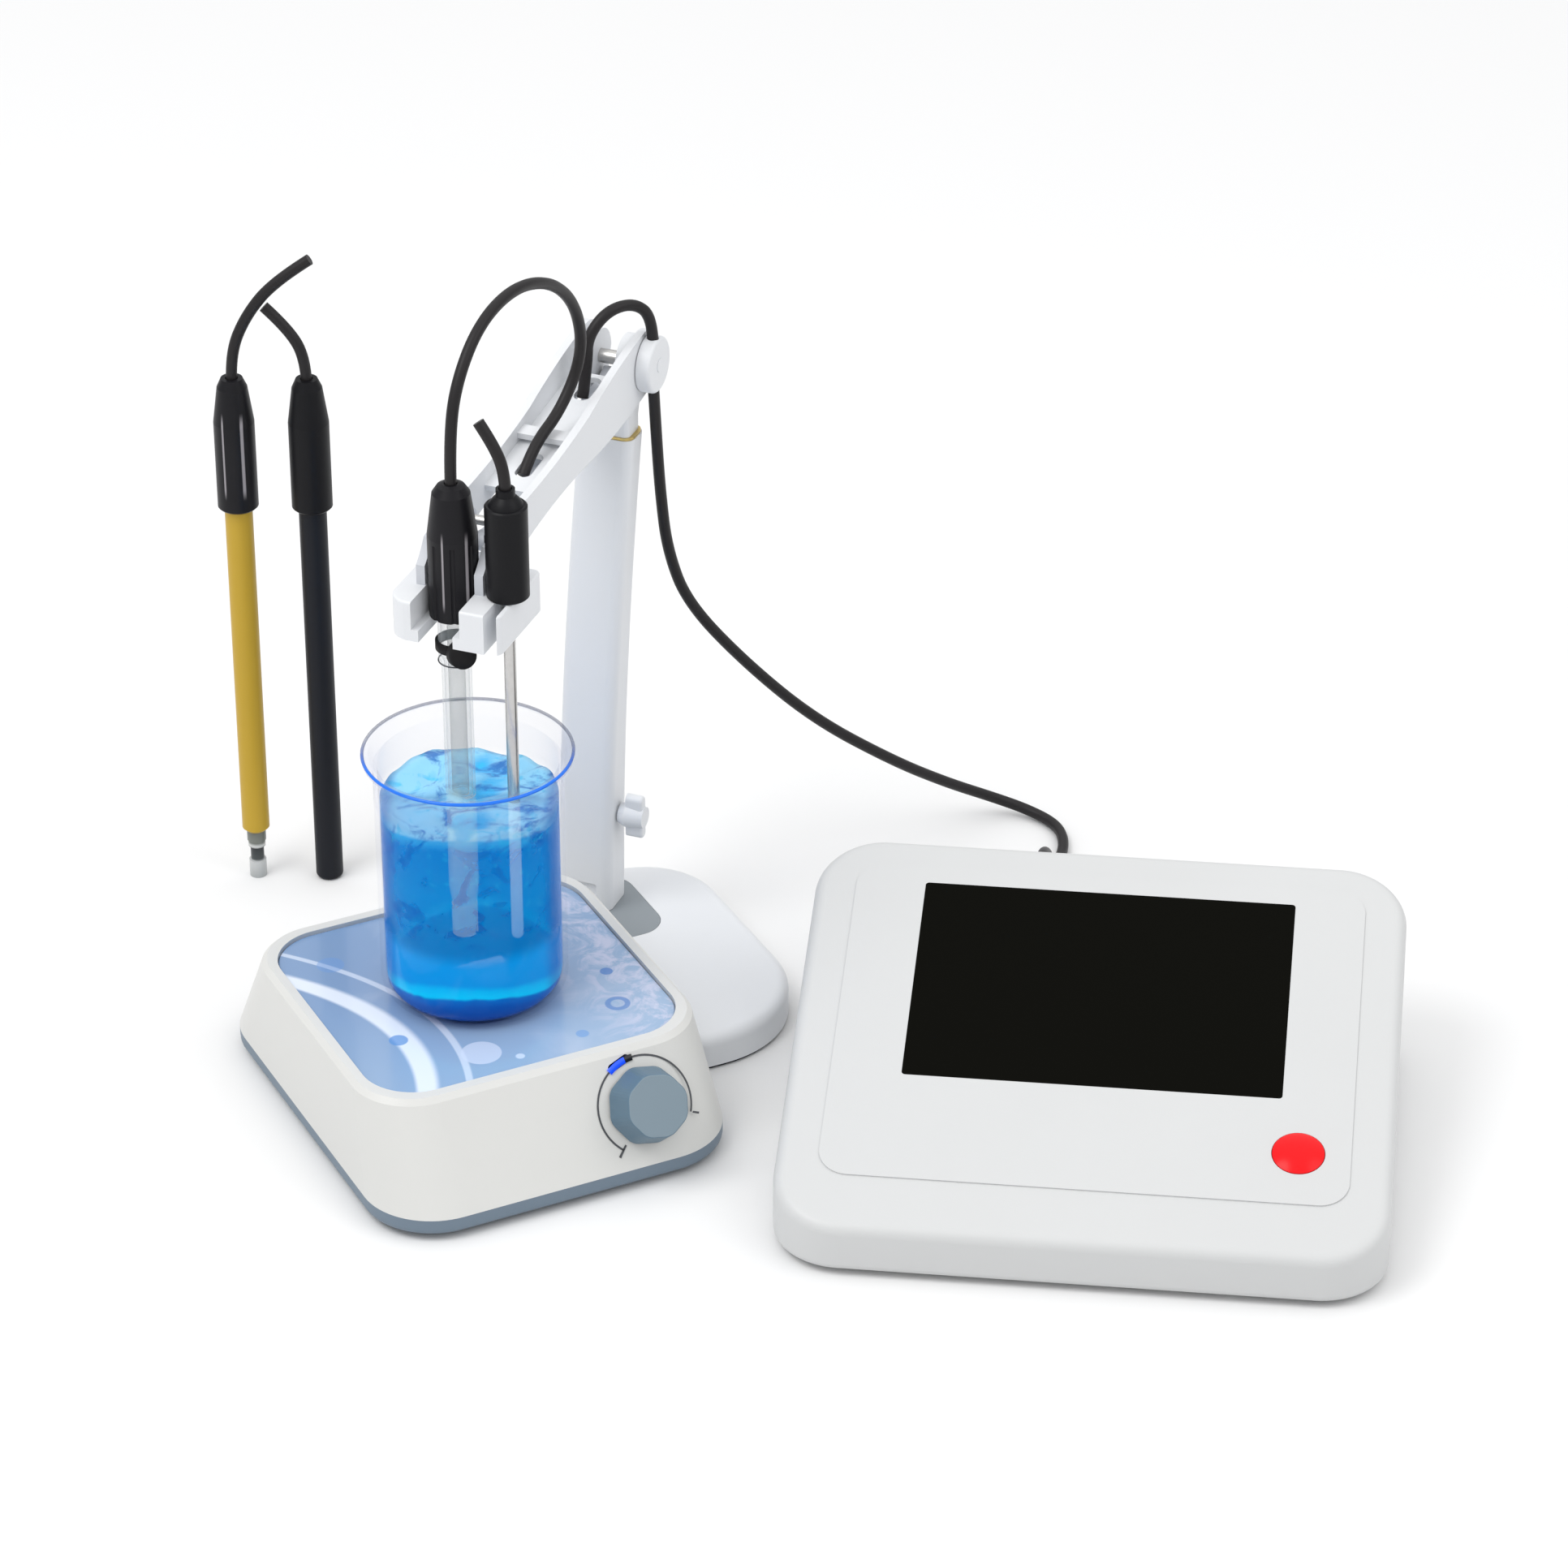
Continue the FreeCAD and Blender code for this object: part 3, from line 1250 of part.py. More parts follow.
def make_arm_channel():
    body = new_body("arm_channel", arm)
    hub, end, length = cell.arm_hub_radius, cell.arm_end_radius, arm_length
    profile = [(0, hub), (-length * 0.45, 9), (-length, end), (-length, -end),
               (-length * 0.5, -11), (0, -hub)]
    bends = {0: 330, 1: -400, 2: end * half_turn, 3: -330, 4: 330, 5: hub * half_turn}
    pad(body, polygon(new_sketch(body, SIDE), profile, bends), cell.arm_width, symmetric=True)
    start = -hub - 1.5
    top = new_sketch(body, SIDE)
    polygon(top, [(hub + 5, hub + 9), (-length - end - 5, hub + 9), (-length - end - 5, 0.5),
                  (hub + 5, 0.5)])
    pocket(body, top, 2 * inner_half, symmetric=True)
    below = new_sketch(body, SIDE)
    polygon(below, [(hub + 5, 0.5 - cell.arm_floor), (-length - end - 5, 0.5 - cell.arm_floor),
                    (-length - end - 5, -hub - 9), (hub + 5, -hub - 9)])
    pocket(body, below, 2 * inner_half, symmetric=True)
    for first, last in ((hub + 5, start), (end + 14 - length, -length - end - 5)):
        room = new_sketch(body, SIDE)
        polygon(room, [(first, 3), (last, 3), (last, -hub), (first, -hub)])
        pocket(body, room, 2 * inner_half, symmetric=True)
    pins = new_sketch(body, SIDE)
    circle(pins, cell.axle_radius + cell.running_gap, 0, 0)
    circle(pins, cell.pin_radius + cell.running_gap, -length, 0)
    pocket(body, pins, 2 * cell.arm_width, symmetric=True)
    bar = new_sketch(body, Frame().move(0, -cell.bar_place, 2.5))
    rounded_rectangle(bar, 2 * inner_half + cell.arm_wall, 7, 1)
    pad(body, bar, 2.5)
    slots = new_sketch(body, Frame().move(0, 0, 0.5))
    for place in (cell.cord_entry, cell.cord_exit):
        rounded_rectangle(slots, cell.cord_slot_width, cell.cord_slot_length,
                          cell.cord_slot_width / 2 - 0.1, 0, -place)
    pocket(body, slots, 2 * cell.arm_floor)
    return body


def make_level_link():
    body = new_body("level_link", arm_link)
    radius = cell.link_radius
    outline = new_sketch(body, SIDE)
    slim = radius * 0.6
    step = radius * 1.2
    profile = [(0, radius), (-step, slim), (step - arm_length, slim), (-arm_length, radius),
               (-arm_length, -radius), (step - arm_length, -slim), (-step, -slim), (0, -radius)]
    pad(body, polygon(outline, profile, {3: radius * half_turn, 7: radius * half_turn}), cell.link_width,
        symmetric=True)
    pins = new_sketch(body, SIDE)
    circle(pins, cell.pin_radius + cell.running_gap, 0, 0)
    circle(pins, cell.pin_radius + cell.open_pivot_gap, -arm_length, 0)
    pocket(body, pins, 2 * cell.link_width, symmetric=True)
    return body


arm_link = stand.move(0, cell.hub_back, cell.hub_height - cell.link_drop).tilt(cell.arm_tilt)

# Holder: bracket with two cheeks on the rear of the block that carries the electrodes
holder = stand.move(0, -reach)
pivot_back = cell.bracket_reach
pivot_height = cell.hub_height - arm_length * sine(cell.arm_tilt)
holder_bottom = cell.hub_height - cell.holder_drop
holder_top = holder_bottom + cell.holder_height
cheek_back = cell.bracket_reach - cell.arm_end_radius - 1.5


def make_holder():
    bracket = new_body("holder_bracket", holder)
    tall = pivot_height + 6.5
    low = pivot_height - cell.link_drop - 5.5
    front, rear, back = cell.ph_cap_radius + 3, pivot_back + 7, cell.holder_rear
    tongue = [(front, holder_top), (back, holder_top), (back + 3, low), (rear, low),
              (rear, pivot_height), (pivot_back - 7, tall), (front, holder_top + 6)]
    side = polygon(new_sketch(bracket, SIDE), tongue, {4: 16})
    pad(bracket, side, cell.bracket_width, symmetric=True)
    cheek = [(-4, holder_top), (cheek_back, holder_top), (cheek_back, holder_top + cell.cheek_rise - 3),
             (cheek_back - 4, holder_top + cell.cheek_rise), (4, holder_top + cell.cheek_rise),
             (-4, holder_top + cell.cheek_rise / 2)]
    side = polygon(new_sketch(bracket, SIDE), cheek, {3: 40, 4: -30})
    pad(bracket, side, cell.cheek_width, symmetric=True)
    slot = new_sketch(bracket, SIDE)
    floor = holder_top + cell.bracket_wall
    polygon(slot, [(front - 0.5, floor), (back, floor), (back, low - 5), (rear + 5, low - 5),
                   (rear + 5, tall + 5), (front - 0.5, tall + 5)])
    pocket(bracket, slot, cell.bracket_width - 2 * cell.bracket_wall, symmetric=True)
    seat = new_sketch(bracket, SIDE)
    polygon(seat, [(-9, holder_top - 1), (front - 0.5, holder_top - 1), (front - 0.5, tall + 5),
                   (-9, tall + 5)])
    pocket(bracket, seat, 2 * cell.ph_cap_radius + 1, symmetric=True)
    pins = new_sketch(bracket, SIDE)
    for drop in (0, cell.link_drop):
        circle(pins, cell.pin_radius + cell.running_gap, pivot_back, pivot_height - drop)
    pocket(bracket, pins, 2 * cell.bracket_width, symmetric=True)

    block = new_body("electrode_holder", holder)
    outline = new_sketch(block, Frame().move(0, 0, holder_bottom))
    left, right = -cell.holder_left, cell.holder_right
    front_y, rear_y, cut = -cell.holder_front, cell.holder_rear, cell.holder_corner
    polygon(outline, [(left, cut - cell.holder_front), (left + cut, front_y), (right - cut / 2, front_y),
                      (right, front_y + cut / 2), (right, rear_y), (left, rear_y)],
            {0: cut * 1.2, 2: cut * 0.6})
    pad(block, outline, cell.holder_height)
    fillet(block, 3, lambda edge: upright_edge(edge) and edge.CenterOfMass.y > cell.holder_rear.value - 1)
    fillet(block, 1.0, level_edge(holder_top))
    mouth = front_y - 5
    for radius, depth in ((cell.ph_cap_radius + cell.seat_gap, cell.seat_depth),
                          (cell.ph_neck_radius + cell.seat_gap, cell.holder_height + 1)):
        seat = new_sketch(block, Frame().move(0, 0, holder_top))
        polygon(seat, [(-radius, mouth), (radius, mouth), (radius, 0), (-radius, 0)],
                {2: radius * half_turn})
        pocket(block, seat, depth)
    notch = new_sketch(block, Frame().move(0, 0, holder_top))
    rod, temp_x = cell.temp_rod_radius + 2 * cell.running_gap, cell.temp_side
    polygon(notch, [(temp_x - rod, mouth), (temp_x + rod, mouth), (temp_x + rod, 0), (temp_x - rod, 0)],
            {2: rod * half_turn})
    pocket(block, notch, cell.holder_height + 1)

    half = cell.arm_width / 2 - 0.2
    pivot = [(0, -half), (cell.pin_radius, -half), (cell.pin_radius, half), (0, half)]
    short = cell.bracket_width / 2 - 0.2
    lower = [(0, -short), (cell.pin_radius, -short), (cell.pin_radius, short), (0, short)]
    bracket_pins = [
        turned("pivot_pin", holder.move(0, pivot_back, pivot_height).spin((0, 1, 0), 90), pivot),
        turned("pivot_pin", holder.move(0, pivot_back, pivot_height - cell.link_drop)
               .spin((0, 1, 0), 90), lower)]
    return [bracket, group("bracket_pins", bracket_pins), block]


# Electrodes in the holder
seat_height = holder_top - cell.seat_depth
cord_bore = cell.cord_diameter / 2 + cell.cord_play


def make_ph_electrode():
    frame = stand.move(0, -reach)
    top = seat_height + cell.ph_cap_height
    wide, throat = cell.ph_cap_radius, cell.cord_diameter / 2 + 1
    cap = turned("ph_cap", frame,
                 [(0, seat_height), (wide, seat_height), (wide, top - 22), (wide - 2.4, top - 4),
                  (wide - 4.4, top - 1), (throat, top), (cord_bore, top),
                  (cord_bore, top - cell.cord_socket), (0, top - cell.cord_socket)])
    flutes = new_sketch(cap, Frame().move(0, 0, seat_height))
    for number in range(8):
        turn = math.radians(45 * number + 22.5)
        circle(flutes, 1.1, wide * math.cos(turn) + 0.5 * math.cos(turn),
               wide * math.sin(turn) + 0.5 * math.sin(turn))
    pocket(cap, flutes, cell.ph_cap_height - 24, up=True)

    neck, tube, wall = cell.ph_neck_radius, cell.ph_tube_radius, cell.glass_wall
    neck_end = seat_height - cell.ph_neck_length
    glass_end = probe_tip + cell.ph_guard_length
    glass = turned("ph_glass_tube", frame,
                   [(neck - wall, seat_height), (neck, seat_height), (neck, neck_end + 2),
                    (tube, neck_end), (tube, glass_end + 8), (tube - 1.2, glass_end),
                    (tube - 1.2 - wall, glass_end), (tube - wall, glass_end + 8),
                    (tube - wall, neck_end + 1), (neck - wall, neck_end + 3)])
    inner = cell.ph_inner_radius
    core = turned("ph_inner_tube", frame,
                  [(0, glass_end + 0.3), (inner - 0.6, glass_end + 0.3), (inner, glass_end + 6),
                   (inner, seat_height), (0, seat_height)])
    guard_top = glass_end - 0.1
    guard = turned("ph_tip_guard", frame,
                   [(0, probe_tip + 4), (tube - 3, probe_tip + 4), (tube - 2, probe_tip),
                    (tube - 0.8, probe_tip), (tube - 0.8, guard_top), (0, guard_top)])
    slots = new_sketch(guard, Frame().move(0, 0, probe_tip))
    rounded_rectangle(slots, 4 * tube, 2.4, 1)
    pocket(guard, slots, 3, up=True)
    side = frame.turn(-65).move(neck + cell.side_gap / 2, 0, neck_end + 9).spin((0, 1, 0), 90)
    head = cell.filler_radius
    plug = turned("ph_filler_plug", side,
                  [(0, 0), (head - 1.6, 0), (head - 1.6, 1), (head, 2), (head, 3.4), (head - 1.2, 5),
                   (0, 5)])
    return [cap, glass, core, guard, plug]


def make_temperature_probe():
    frame = stand.move(cell.temp_side, -reach)
    wide, rod = cell.temp_cap_radius, cell.temp_rod_radius
    bottom, top = holder_top, holder_top + cell.temp_cap_height
    neck_top = top + cell.temp_neck
    cap = turned("temp_cap", frame,
                 [(rod + 0.02, bottom), (wide - 0.6, bottom), (wide, bottom + 0.6), (wide, top - 0.6),
                  (wide - 0.6, top), (wide - 1.5, top), (3.8, neck_top - 3), (3.8, neck_top),
                  (cord_bore, neck_top), (cord_bore, neck_top - cell.cord_socket),
                  (0, neck_top - cell.cord_socket), (0, bottom + 12), (rod + 0.02, bottom + 12)], {5: 12})
    point = probe_tip + 2
    rod_body = turned("temp_rod", frame,
                      [(0, point), (rod, point + rod), (rod, bottom + 11.7), (0, bottom + 11.7)],
                      {0: rod * half_turn})
    return [cap, rod_body]


# Spare electrodes
def spare_cap(name, frame):
    top, wide = cell.spare_height, cell.spare_cap_radius
    bottom = top - cell.spare_cap_length
    tube = cell.spare_tube_radius + cell.running_gap
    throat, floor = cord_bore, top - cell.cord_socket
    return turned(name, frame,
                  [(tube, bottom), (wide - 0.8, bottom), (wide, bottom + 0.8), (wide, top - 20),
                   (wide - 2.2, top - 4), (wide - 4, top), (throat, top), (throat, floor), (0, floor),
                   (0, bottom + 14), (tube, bottom + 14)])


yellow = Frame().move(cell.stirrer_x + cell.yellow_x, cell.stirrer_y + cell.yellow_y)
black = Frame().move(cell.stirrer_x + cell.black_x, cell.stirrer_y + cell.black_y)


def make_spare_electrodes():
    tube = cell.spare_tube_radius
    tube_top = cell.spare_height - cell.spare_cap_length + 13.7
    tip = cell.yellow_tip_length
    yellow_tube = turned("yellow_tube", yellow,
                         [(0, tip + 0.1), (tube - 1.5, tip + 0.1), (tube, tip + 1.6), (tube, tube_top),
                          (0, tube_top)])
    sensor = tube - 2.2
    yellow_tip = turned("yellow_tip", yellow,
                        [(0, 0), (sensor, 0), (sensor, 8), (sensor - 0.8, 8), (sensor - 0.8, 15),
                         (sensor, 15), (sensor, 18), (tube - 1.8, 18), (tube - 1.8, tip), (0, tip)])
    black_tube = turned("black_tube", black,
                        [(0, 0), (tube - 2, 0), (tube, 2), (tube, tube_top), (0, tube_top)], {1: 2.1})
    return [spare_cap("yellow_cap", yellow), yellow_tube, yellow_tip, spare_cap("black_cap", black),
            black_tube]


# Cords: straight runs joined by arcs as large as the runs allow
def cord_path(points):
    """The edges of a cord's middle line, with the radius of each bend."""
    edges, radii = [], []
    start = points[0]
    for before, corner, after in zip(points, points[1:], points[2:]):
        coming, leaving = before - corner, after - corner
        half_turn = (math.pi - coming.getAngle(leaving)) / 2
        cut = 0.45 * min(coming.Length, leaving.Length)
        radius = cut / math.tan(half_turn)
        coming.normalize()
        leaving.normalize()
        inward = (coming + leaving).normalize()
        middle = corner + inward * (radius / math.cos(half_turn) - radius)
        first, last = corner + coming * cut, corner + leaving * cut
        edges.append(Part.LineSegment(start, first).toShape())
        edges.append(Part.Arc(first, middle, last).toShape())
        radii.append(radius)
        start = last
    edges.append(Part.LineSegment(start, points[-1]).toShape())
    return Part.Wire(edges), radii


def make_cord(name, frame, route):
    """A cord along a route given in a frame's coordinates."""
    points = [frame.value.multVec(Vector(*[as_size(number).value for number in point]))
              for point in route]
    path, radii = cord_path(points)
    section = Part.Circle(points[0], points[1] - points[0], cell.cord_diameter.value / 2)
    tube = path.makePipeShell([Part.Wire(section.toShape())], True, False)
    share = tube.Volume / (math.pi * cell.cord_diameter.value ** 2 / 4 * path.Length)
    print(f"{name}: {path.Length:.0f} mm, bends {min(radii):.0f} to {max(radii):.0f} mm, "
          f"volume {share:.4f} of section times length")
    if abs(share - 1) > 0.01:
        raise RuntimeError(f"{name}: the tube doesn't follow its path")
    cord = doc.addObject("Part::Feature", name)
    cord.Label = name
    cord.Shape = tube
    return cord


ph_top = seat_height + cell.ph_cap_height - cell.cord_socket
temp_top = holder_top + cell.temp_cap_height + cell.temp_neck - cell.cord_socket
spare_top = cell.spare_height - cell.cord_socket
cord_floor = cell.cord_diameter / 2 + 0.1
plug_x, plug_back = socket_x[1], cell.meter_depth / 2 + cell.plug_length


def make_cords():
    entry_y, entry_z = arm_place(cell.cord_entry)
    exit_y, exit_z = arm_place(cell.cord_exit)
    over_arm = [(0, -reach, ph_top + 0.05), (0, -reach, ph_top + 20), (0.5, 6 - reach, ph_top + 42),
                (2.5, 25 - reach, ph_top + 60), (5.5, 53 - reach, ph_top + 64),
                (8.5, 82 - reach, ph_top + 54), (9.5, 104 - reach, ph_top + 34),
                (8, 113.5 - reach, ph_top + 8), (3.5, 101 - reach, ph_top - 12),
                (0, entry_y + 4, entry_z + 8), (-0.5, entry_y - 5, entry_z - 0.6)]
    cap_x, hub = cap_middle, cell.hub_back
    lift = cell.hub_height + cell.hub_radius - 1.5
    bridge = [(-0.5, exit_y - 4, exit_z - 0.4), (0, exit_y, lift), (0, exit_y + 1, lift + 11),
              (cap_x * 0.3, exit_y + 9, lift + 20), (cap_x * 0.7, hub - 7, lift + 20),
              (cap_x, hub - 0.5, lift + 12), (cap_x, hub, lift)]
    x, y = cell.meter_width / -2, cell.meter_depth / 2
    start = stand.value.multVec(Vector(cap_x.value, hub.value, 0)) - meter.value.Base
    down = [(start.x, start.y, cell.hub_height - cell.hub_radius + 1.5)]
    down += [(start.x + 1, start.y + 0.5, 222), (start.x + 2.2, start.y + 2, 196),
             (start.x + 4.5, start.y + 3.6, 170), (start.x + 12, start.y + 8, 143)]
    down += [(x - 43, y + 87, 109), (x - 15, y + 103, 74), (x + 17, y + 123, 44), (x + 39, y + 141, 24),
             (x + 58.5, y + 156, 9), (x + 74, y + 156.5, 3.5), (x + 87.6, y + 147, cord_floor),
             (x + 92.5, y + 132, cord_floor), (x + 91, y + 114, cord_floor),
             (plug_x + 2, y + 92, 15), (plug_x, y + 67, cell.socket_height),
             (plug_x, plug_back + 0.05, cell.socket_height)]
    temp = [(0, 0, 0), (0, 0, 9), (-4, 0.5, 19.5), (-11, 1, 29)]
    yellow_run = [(0, 0, 0), (0, 0, 14), (7, 2, 31), (19, 4, 46), (34, 6, 56)]
    black_run = [(0, 0, 0), (0, 0, 12), (-6.5, 1, 24.5), (-17, 2, 34)]
    return [make_cord("ph_cord", stand, over_arm), make_cord("bridge_cord", stand, bridge),
            make_cord("meter_cord", meter, down),
            make_cord("temp_cord", stand.move(cell.temp_side, -reach, temp_top + 0.05), temp),
            make_cord("yellow_cord", yellow.move(0, 0, spare_top + 0.05), yellow_run),
            make_cord("black_cord", black.move(0, 0, spare_top + 0.05), black_run)]


def arm_place(along):
    """Distance and height of a place on the arm's floor, in the stand's frame."""
    return (cell.hub_back - along * cosine(cell.arm_tilt),
            cell.hub_height - along * sine(cell.arm_tilt) - cell.arm_floor / 2)


def make_cord_plug():
    wide, throat = cell.cord_plug_radius, cell.cord_diameter / 2 + 0.9
    bore, end = cell.bnc_radius + cell.side_gap, cell.plug_length
    mouth = cell.nut_thickness + cell.side_gap
    return turned("cord_plug", socket_frame(plug_x, cell.socket_height),
                  [(bore, mouth), (wide - 0.6, mouth), (wide, mouth + 0.6), (wide, 15), (wide - 0.7, 15.7),
                   (wide - 0.7, 23), (wide - 2.2, 26), (wide - 2.6, 29), (throat, end), (0, end),
                   (0, cell.bnc_length + 0.5), (bore, cell.bnc_length + 0.5)])


keep(make_meter_top_case(), make_meter_bottom_case(), *make_slope_pieces(), make_main_board())
keep(*make_sockets(), *make_feet_and_screws())
keep(make_stirrer_housing(), make_stirrer_base_pan(), make_stirrer_top_plate(), *make_speed_control())
keep(*make_drive(), make_beaker(), make_sample_liquid(), make_stir_bar())
keep(*make_stand_base(), *make_column(), make_clamp_knob(), make_column_head(), *make_axle_and_cap())
keep(make_arm_channel(), make_level_link(), *make_holder())
keep(*make_ph_electrode(), *make_temperature_probe(), *make_spare_electrodes())
keep(*make_cords(), make_cord_plug())

doc.recompute()
for item in doc.Objects:
    if "Invalid" in item.State or "Error" in item.State:
        raise RuntimeError(f"{item.Label} is {item.State}")
for item in nodes:
    if item.Shape.isNull() or not item.Shape.isValid():
        raise RuntimeError(f"{item.Label} has no sound shape")

box = FreeCAD.BoundBox()
for item in nodes:
    if not item.Label.endswith("_cord"):
        box.add(item.Shape.optimalBoundingBox(False))
print(f"{len(nodes)} pieces, X {box.XMin:.2f} to {box.XMax:.2f}, Y {box.YMin:.2f} to {box.YMax:.2f}, "
      f"Z {box.ZMin:.2f} to {box.ZMax:.2f}")
os.makedirs("parts", exist_ok=True)
for item in nodes:
    item.Shape.exportStep(f"parts/{item.Label}.step")
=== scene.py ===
# %% [markdown]
# # A water quality meter, dressed for its portrait
# A bench set: a meter with a sloping screen, a magnetic stirrer with a beaker, a stand whose arm
# holds two electrodes, and two spare electrodes. The solid model brings the right shapes and joints.
# This lesson adds what a solid model lacks: soft cords, water, glass, prints and real finishes.

# %% Load the solid model
import bpy
import bmesh
import json
import math
from mathutils import Matrix, Vector, noise

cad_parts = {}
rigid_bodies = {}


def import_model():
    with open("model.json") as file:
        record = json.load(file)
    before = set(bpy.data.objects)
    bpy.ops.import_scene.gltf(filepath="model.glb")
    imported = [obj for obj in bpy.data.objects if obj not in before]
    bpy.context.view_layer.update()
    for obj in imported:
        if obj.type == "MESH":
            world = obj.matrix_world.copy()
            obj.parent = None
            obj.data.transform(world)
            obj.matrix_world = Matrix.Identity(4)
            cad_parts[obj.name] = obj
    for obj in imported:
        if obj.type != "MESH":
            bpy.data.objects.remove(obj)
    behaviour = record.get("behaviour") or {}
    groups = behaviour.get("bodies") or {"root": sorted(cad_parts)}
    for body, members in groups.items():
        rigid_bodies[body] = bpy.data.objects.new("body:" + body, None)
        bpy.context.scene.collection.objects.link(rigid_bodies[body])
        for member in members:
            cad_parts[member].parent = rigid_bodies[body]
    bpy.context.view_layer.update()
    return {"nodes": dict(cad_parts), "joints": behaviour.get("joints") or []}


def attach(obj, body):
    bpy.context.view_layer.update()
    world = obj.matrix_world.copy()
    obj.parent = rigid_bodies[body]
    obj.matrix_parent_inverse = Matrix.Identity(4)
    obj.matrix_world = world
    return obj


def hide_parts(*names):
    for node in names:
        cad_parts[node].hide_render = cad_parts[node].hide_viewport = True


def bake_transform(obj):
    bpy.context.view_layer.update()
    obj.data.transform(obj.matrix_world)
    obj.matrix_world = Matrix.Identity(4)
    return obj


for thing in list(bpy.data.objects):
    bpy.data.objects.remove(thing)
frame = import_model()
nodes = frame["nodes"]
joints = {joint["name"]: joint for joint in frame["joints"]}

# %% [markdown]
# ## Places that the scene builds on
# A new piece has to sit exactly on the model that carries it. Its place could be typed in, but then
# it would stay behind when the model changes, so it is read from a joint or from a node's outline.

# %% Find the upright lines of the beaker and of two electrodes
def middle_of(name):
    """The middle of a node seen from above, as a point on the floor."""
    spans = [[vertex.co[axis] for vertex in nodes[name].data.vertices] for axis in (0, 1)]
    return Vector([(min(span) + max(span)) / 2 for span in spans] + [0])


BEAKER = Vector((*joints["bar_spin"]["pos_m"][:2], 0))
GLASS_ELECTRODE = middle_of("ph_cap")
YELLOW_ELECTRODE = middle_of("yellow_tip")
print("the beaker stands at", [round(part, 5) for part in BEAKER])

# %% [markdown]
# ## The camera
# The photograph looks down on the bench at about thirty degrees, from a little to the right.
# A long lens keeps the upright electrodes nearly parallel, so the camera stands well back. The
# side turned to it is the set's front, which the water, the lip and the caps need later.

# %% Place the camera
CAMERA_PLACE = (0.2305, -1.9464, 1.2937)
CAMERA_DOWN = 30.58
CAMERA_LEFT = 6.72
LENS = 130.4
FRONT_TURN = math.radians(CAMERA_LEFT)
camera_data = bpy.data.cameras.new("studio_camera")
camera_data.lens = LENS
camera_data.sensor_width = 36
camera = bpy.data.objects.new("studio_camera", camera_data)
camera.location = CAMERA_PLACE
camera.rotation_euler = (math.radians(90 - CAMERA_DOWN), 0, FRONT_TURN)
bpy.context.scene.collection.objects.link(camera)
bpy.context.scene.camera = camera
print("camera", round(Vector(CAMERA_PLACE).length, 2), "m from the middle of the set")

# %% [markdown]
# ## Cords
# Each cord is a coaxial lead of 4.8 mm. Straight pieces joined by arcs would look stiff, so a smooth
# spline goes through the air the way a springy jacket does, and a round section is swept along it.
# Three of them start on one body and end on another, and these are left standing on no body.

# %% Draw a cord along its route
CORD_DIAMETER = 0.0048


def spline_curve(name, route, radius):
    """A smooth curve pulled towards the route's points."""
    data = bpy.data.curves.new(name, "CURVE")
    data.dimensions = "3D"
    data.resolution_u = 10
    data.bevel_depth = radius
    data.bevel_resolution = 5
    data.use_fill_caps = True
    spline = data.splines.new("NURBS")
    spline.points.add(len(route) - 1)
    for point, place in zip(spline.points, route):
        point.co = (*place, 1)
    spline.order_u = 3
    spline.use_endpoint_u = True
    curve = bpy.data.objects.new(name, data)
    bpy.context.scene.collection.objects.link(curve)
    return curve


def mesh_of(curve):
    """The curve as it looks now, as a mesh."""
    return bpy.data.meshes.new_from_object(curve.evaluated_get(bpy.context.evaluated_depsgraph_get()))


def middle_line(curve):
    """Points along the curve, read from it without its bevel."""
    bevel = curve.data.bevel_depth
    curve.data.bevel_depth = 0
    line = mesh_of(curve)
    points = [vertex.co.copy() for vertex in line.vertices]
    bpy.data.meshes.remove(line)
    curve.data.bevel_depth = bevel
    bpy.context.view_layer.update()
    return points


def length_of(points):
    """The length of a line through points."""
    return sum((after - before).length for before, after in zip(points, points[1:]))


def lay_cord(name, route, body=None, bend=None):
    """A cord as a mesh tube, either riding on one body or, when bend is given, left on no body; bend's
    bodies and points are not used.
    """
    curve = spline_curve(name, route, CORD_DIAMETER / 2)
    path = middle_line(curve)
    tube = mesh_of(curve)
    bpy.data.objects.remove(curve)
    cord = bpy.data.objects.new(name, tube)
    bpy.context.scene.collection.objects.link(cord)
    for face in tube.polygons:
        face.use_smooth = True
    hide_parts(name.replace("jacket", "cord"))
    if bend:
        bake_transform(cord)
    else:
        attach(cord, body)
    print(name, round(1000 * length_of(path)), "mm")
    return cord


# %% Lay the cords of the held electrodes
PH_ROUTE = [(-0.12488, -0.02947, 0.27605), (-0.12488, -0.02947, 0.296), (-0.12292, -0.02378, 0.318),
            (-0.1163, -0.00585, 0.336), (-0.1065, 0.02054, 0.34), (-0.09645, 0.04791, 0.33),
            (-0.09006, 0.06899, 0.31), (-0.08917, 0.07856, 0.284), (-0.09661, 0.06756, 0.264),
            (-0.10538, 0.04727, 0.25662), (-0.10808, 0.03867, 0.24802)]
TEMP_ROUTE = [(-0.10259, -0.03513, 0.27805), (-0.10259, -0.03513, 0.28705),
              (-0.10635, -0.03366, 0.29755), (-0.11301, -0.03145, 0.30705)]
ph_jacket = lay_cord("ph_jacket", PH_ROUTE,
                     bend=("holder", "arm", (-0.1163, -0.00585, 0.30), (-0.0945, 0.055, 0.30)))
temp_jacket = lay_cord("temp_jacket", TEMP_ROUTE, body="holder")

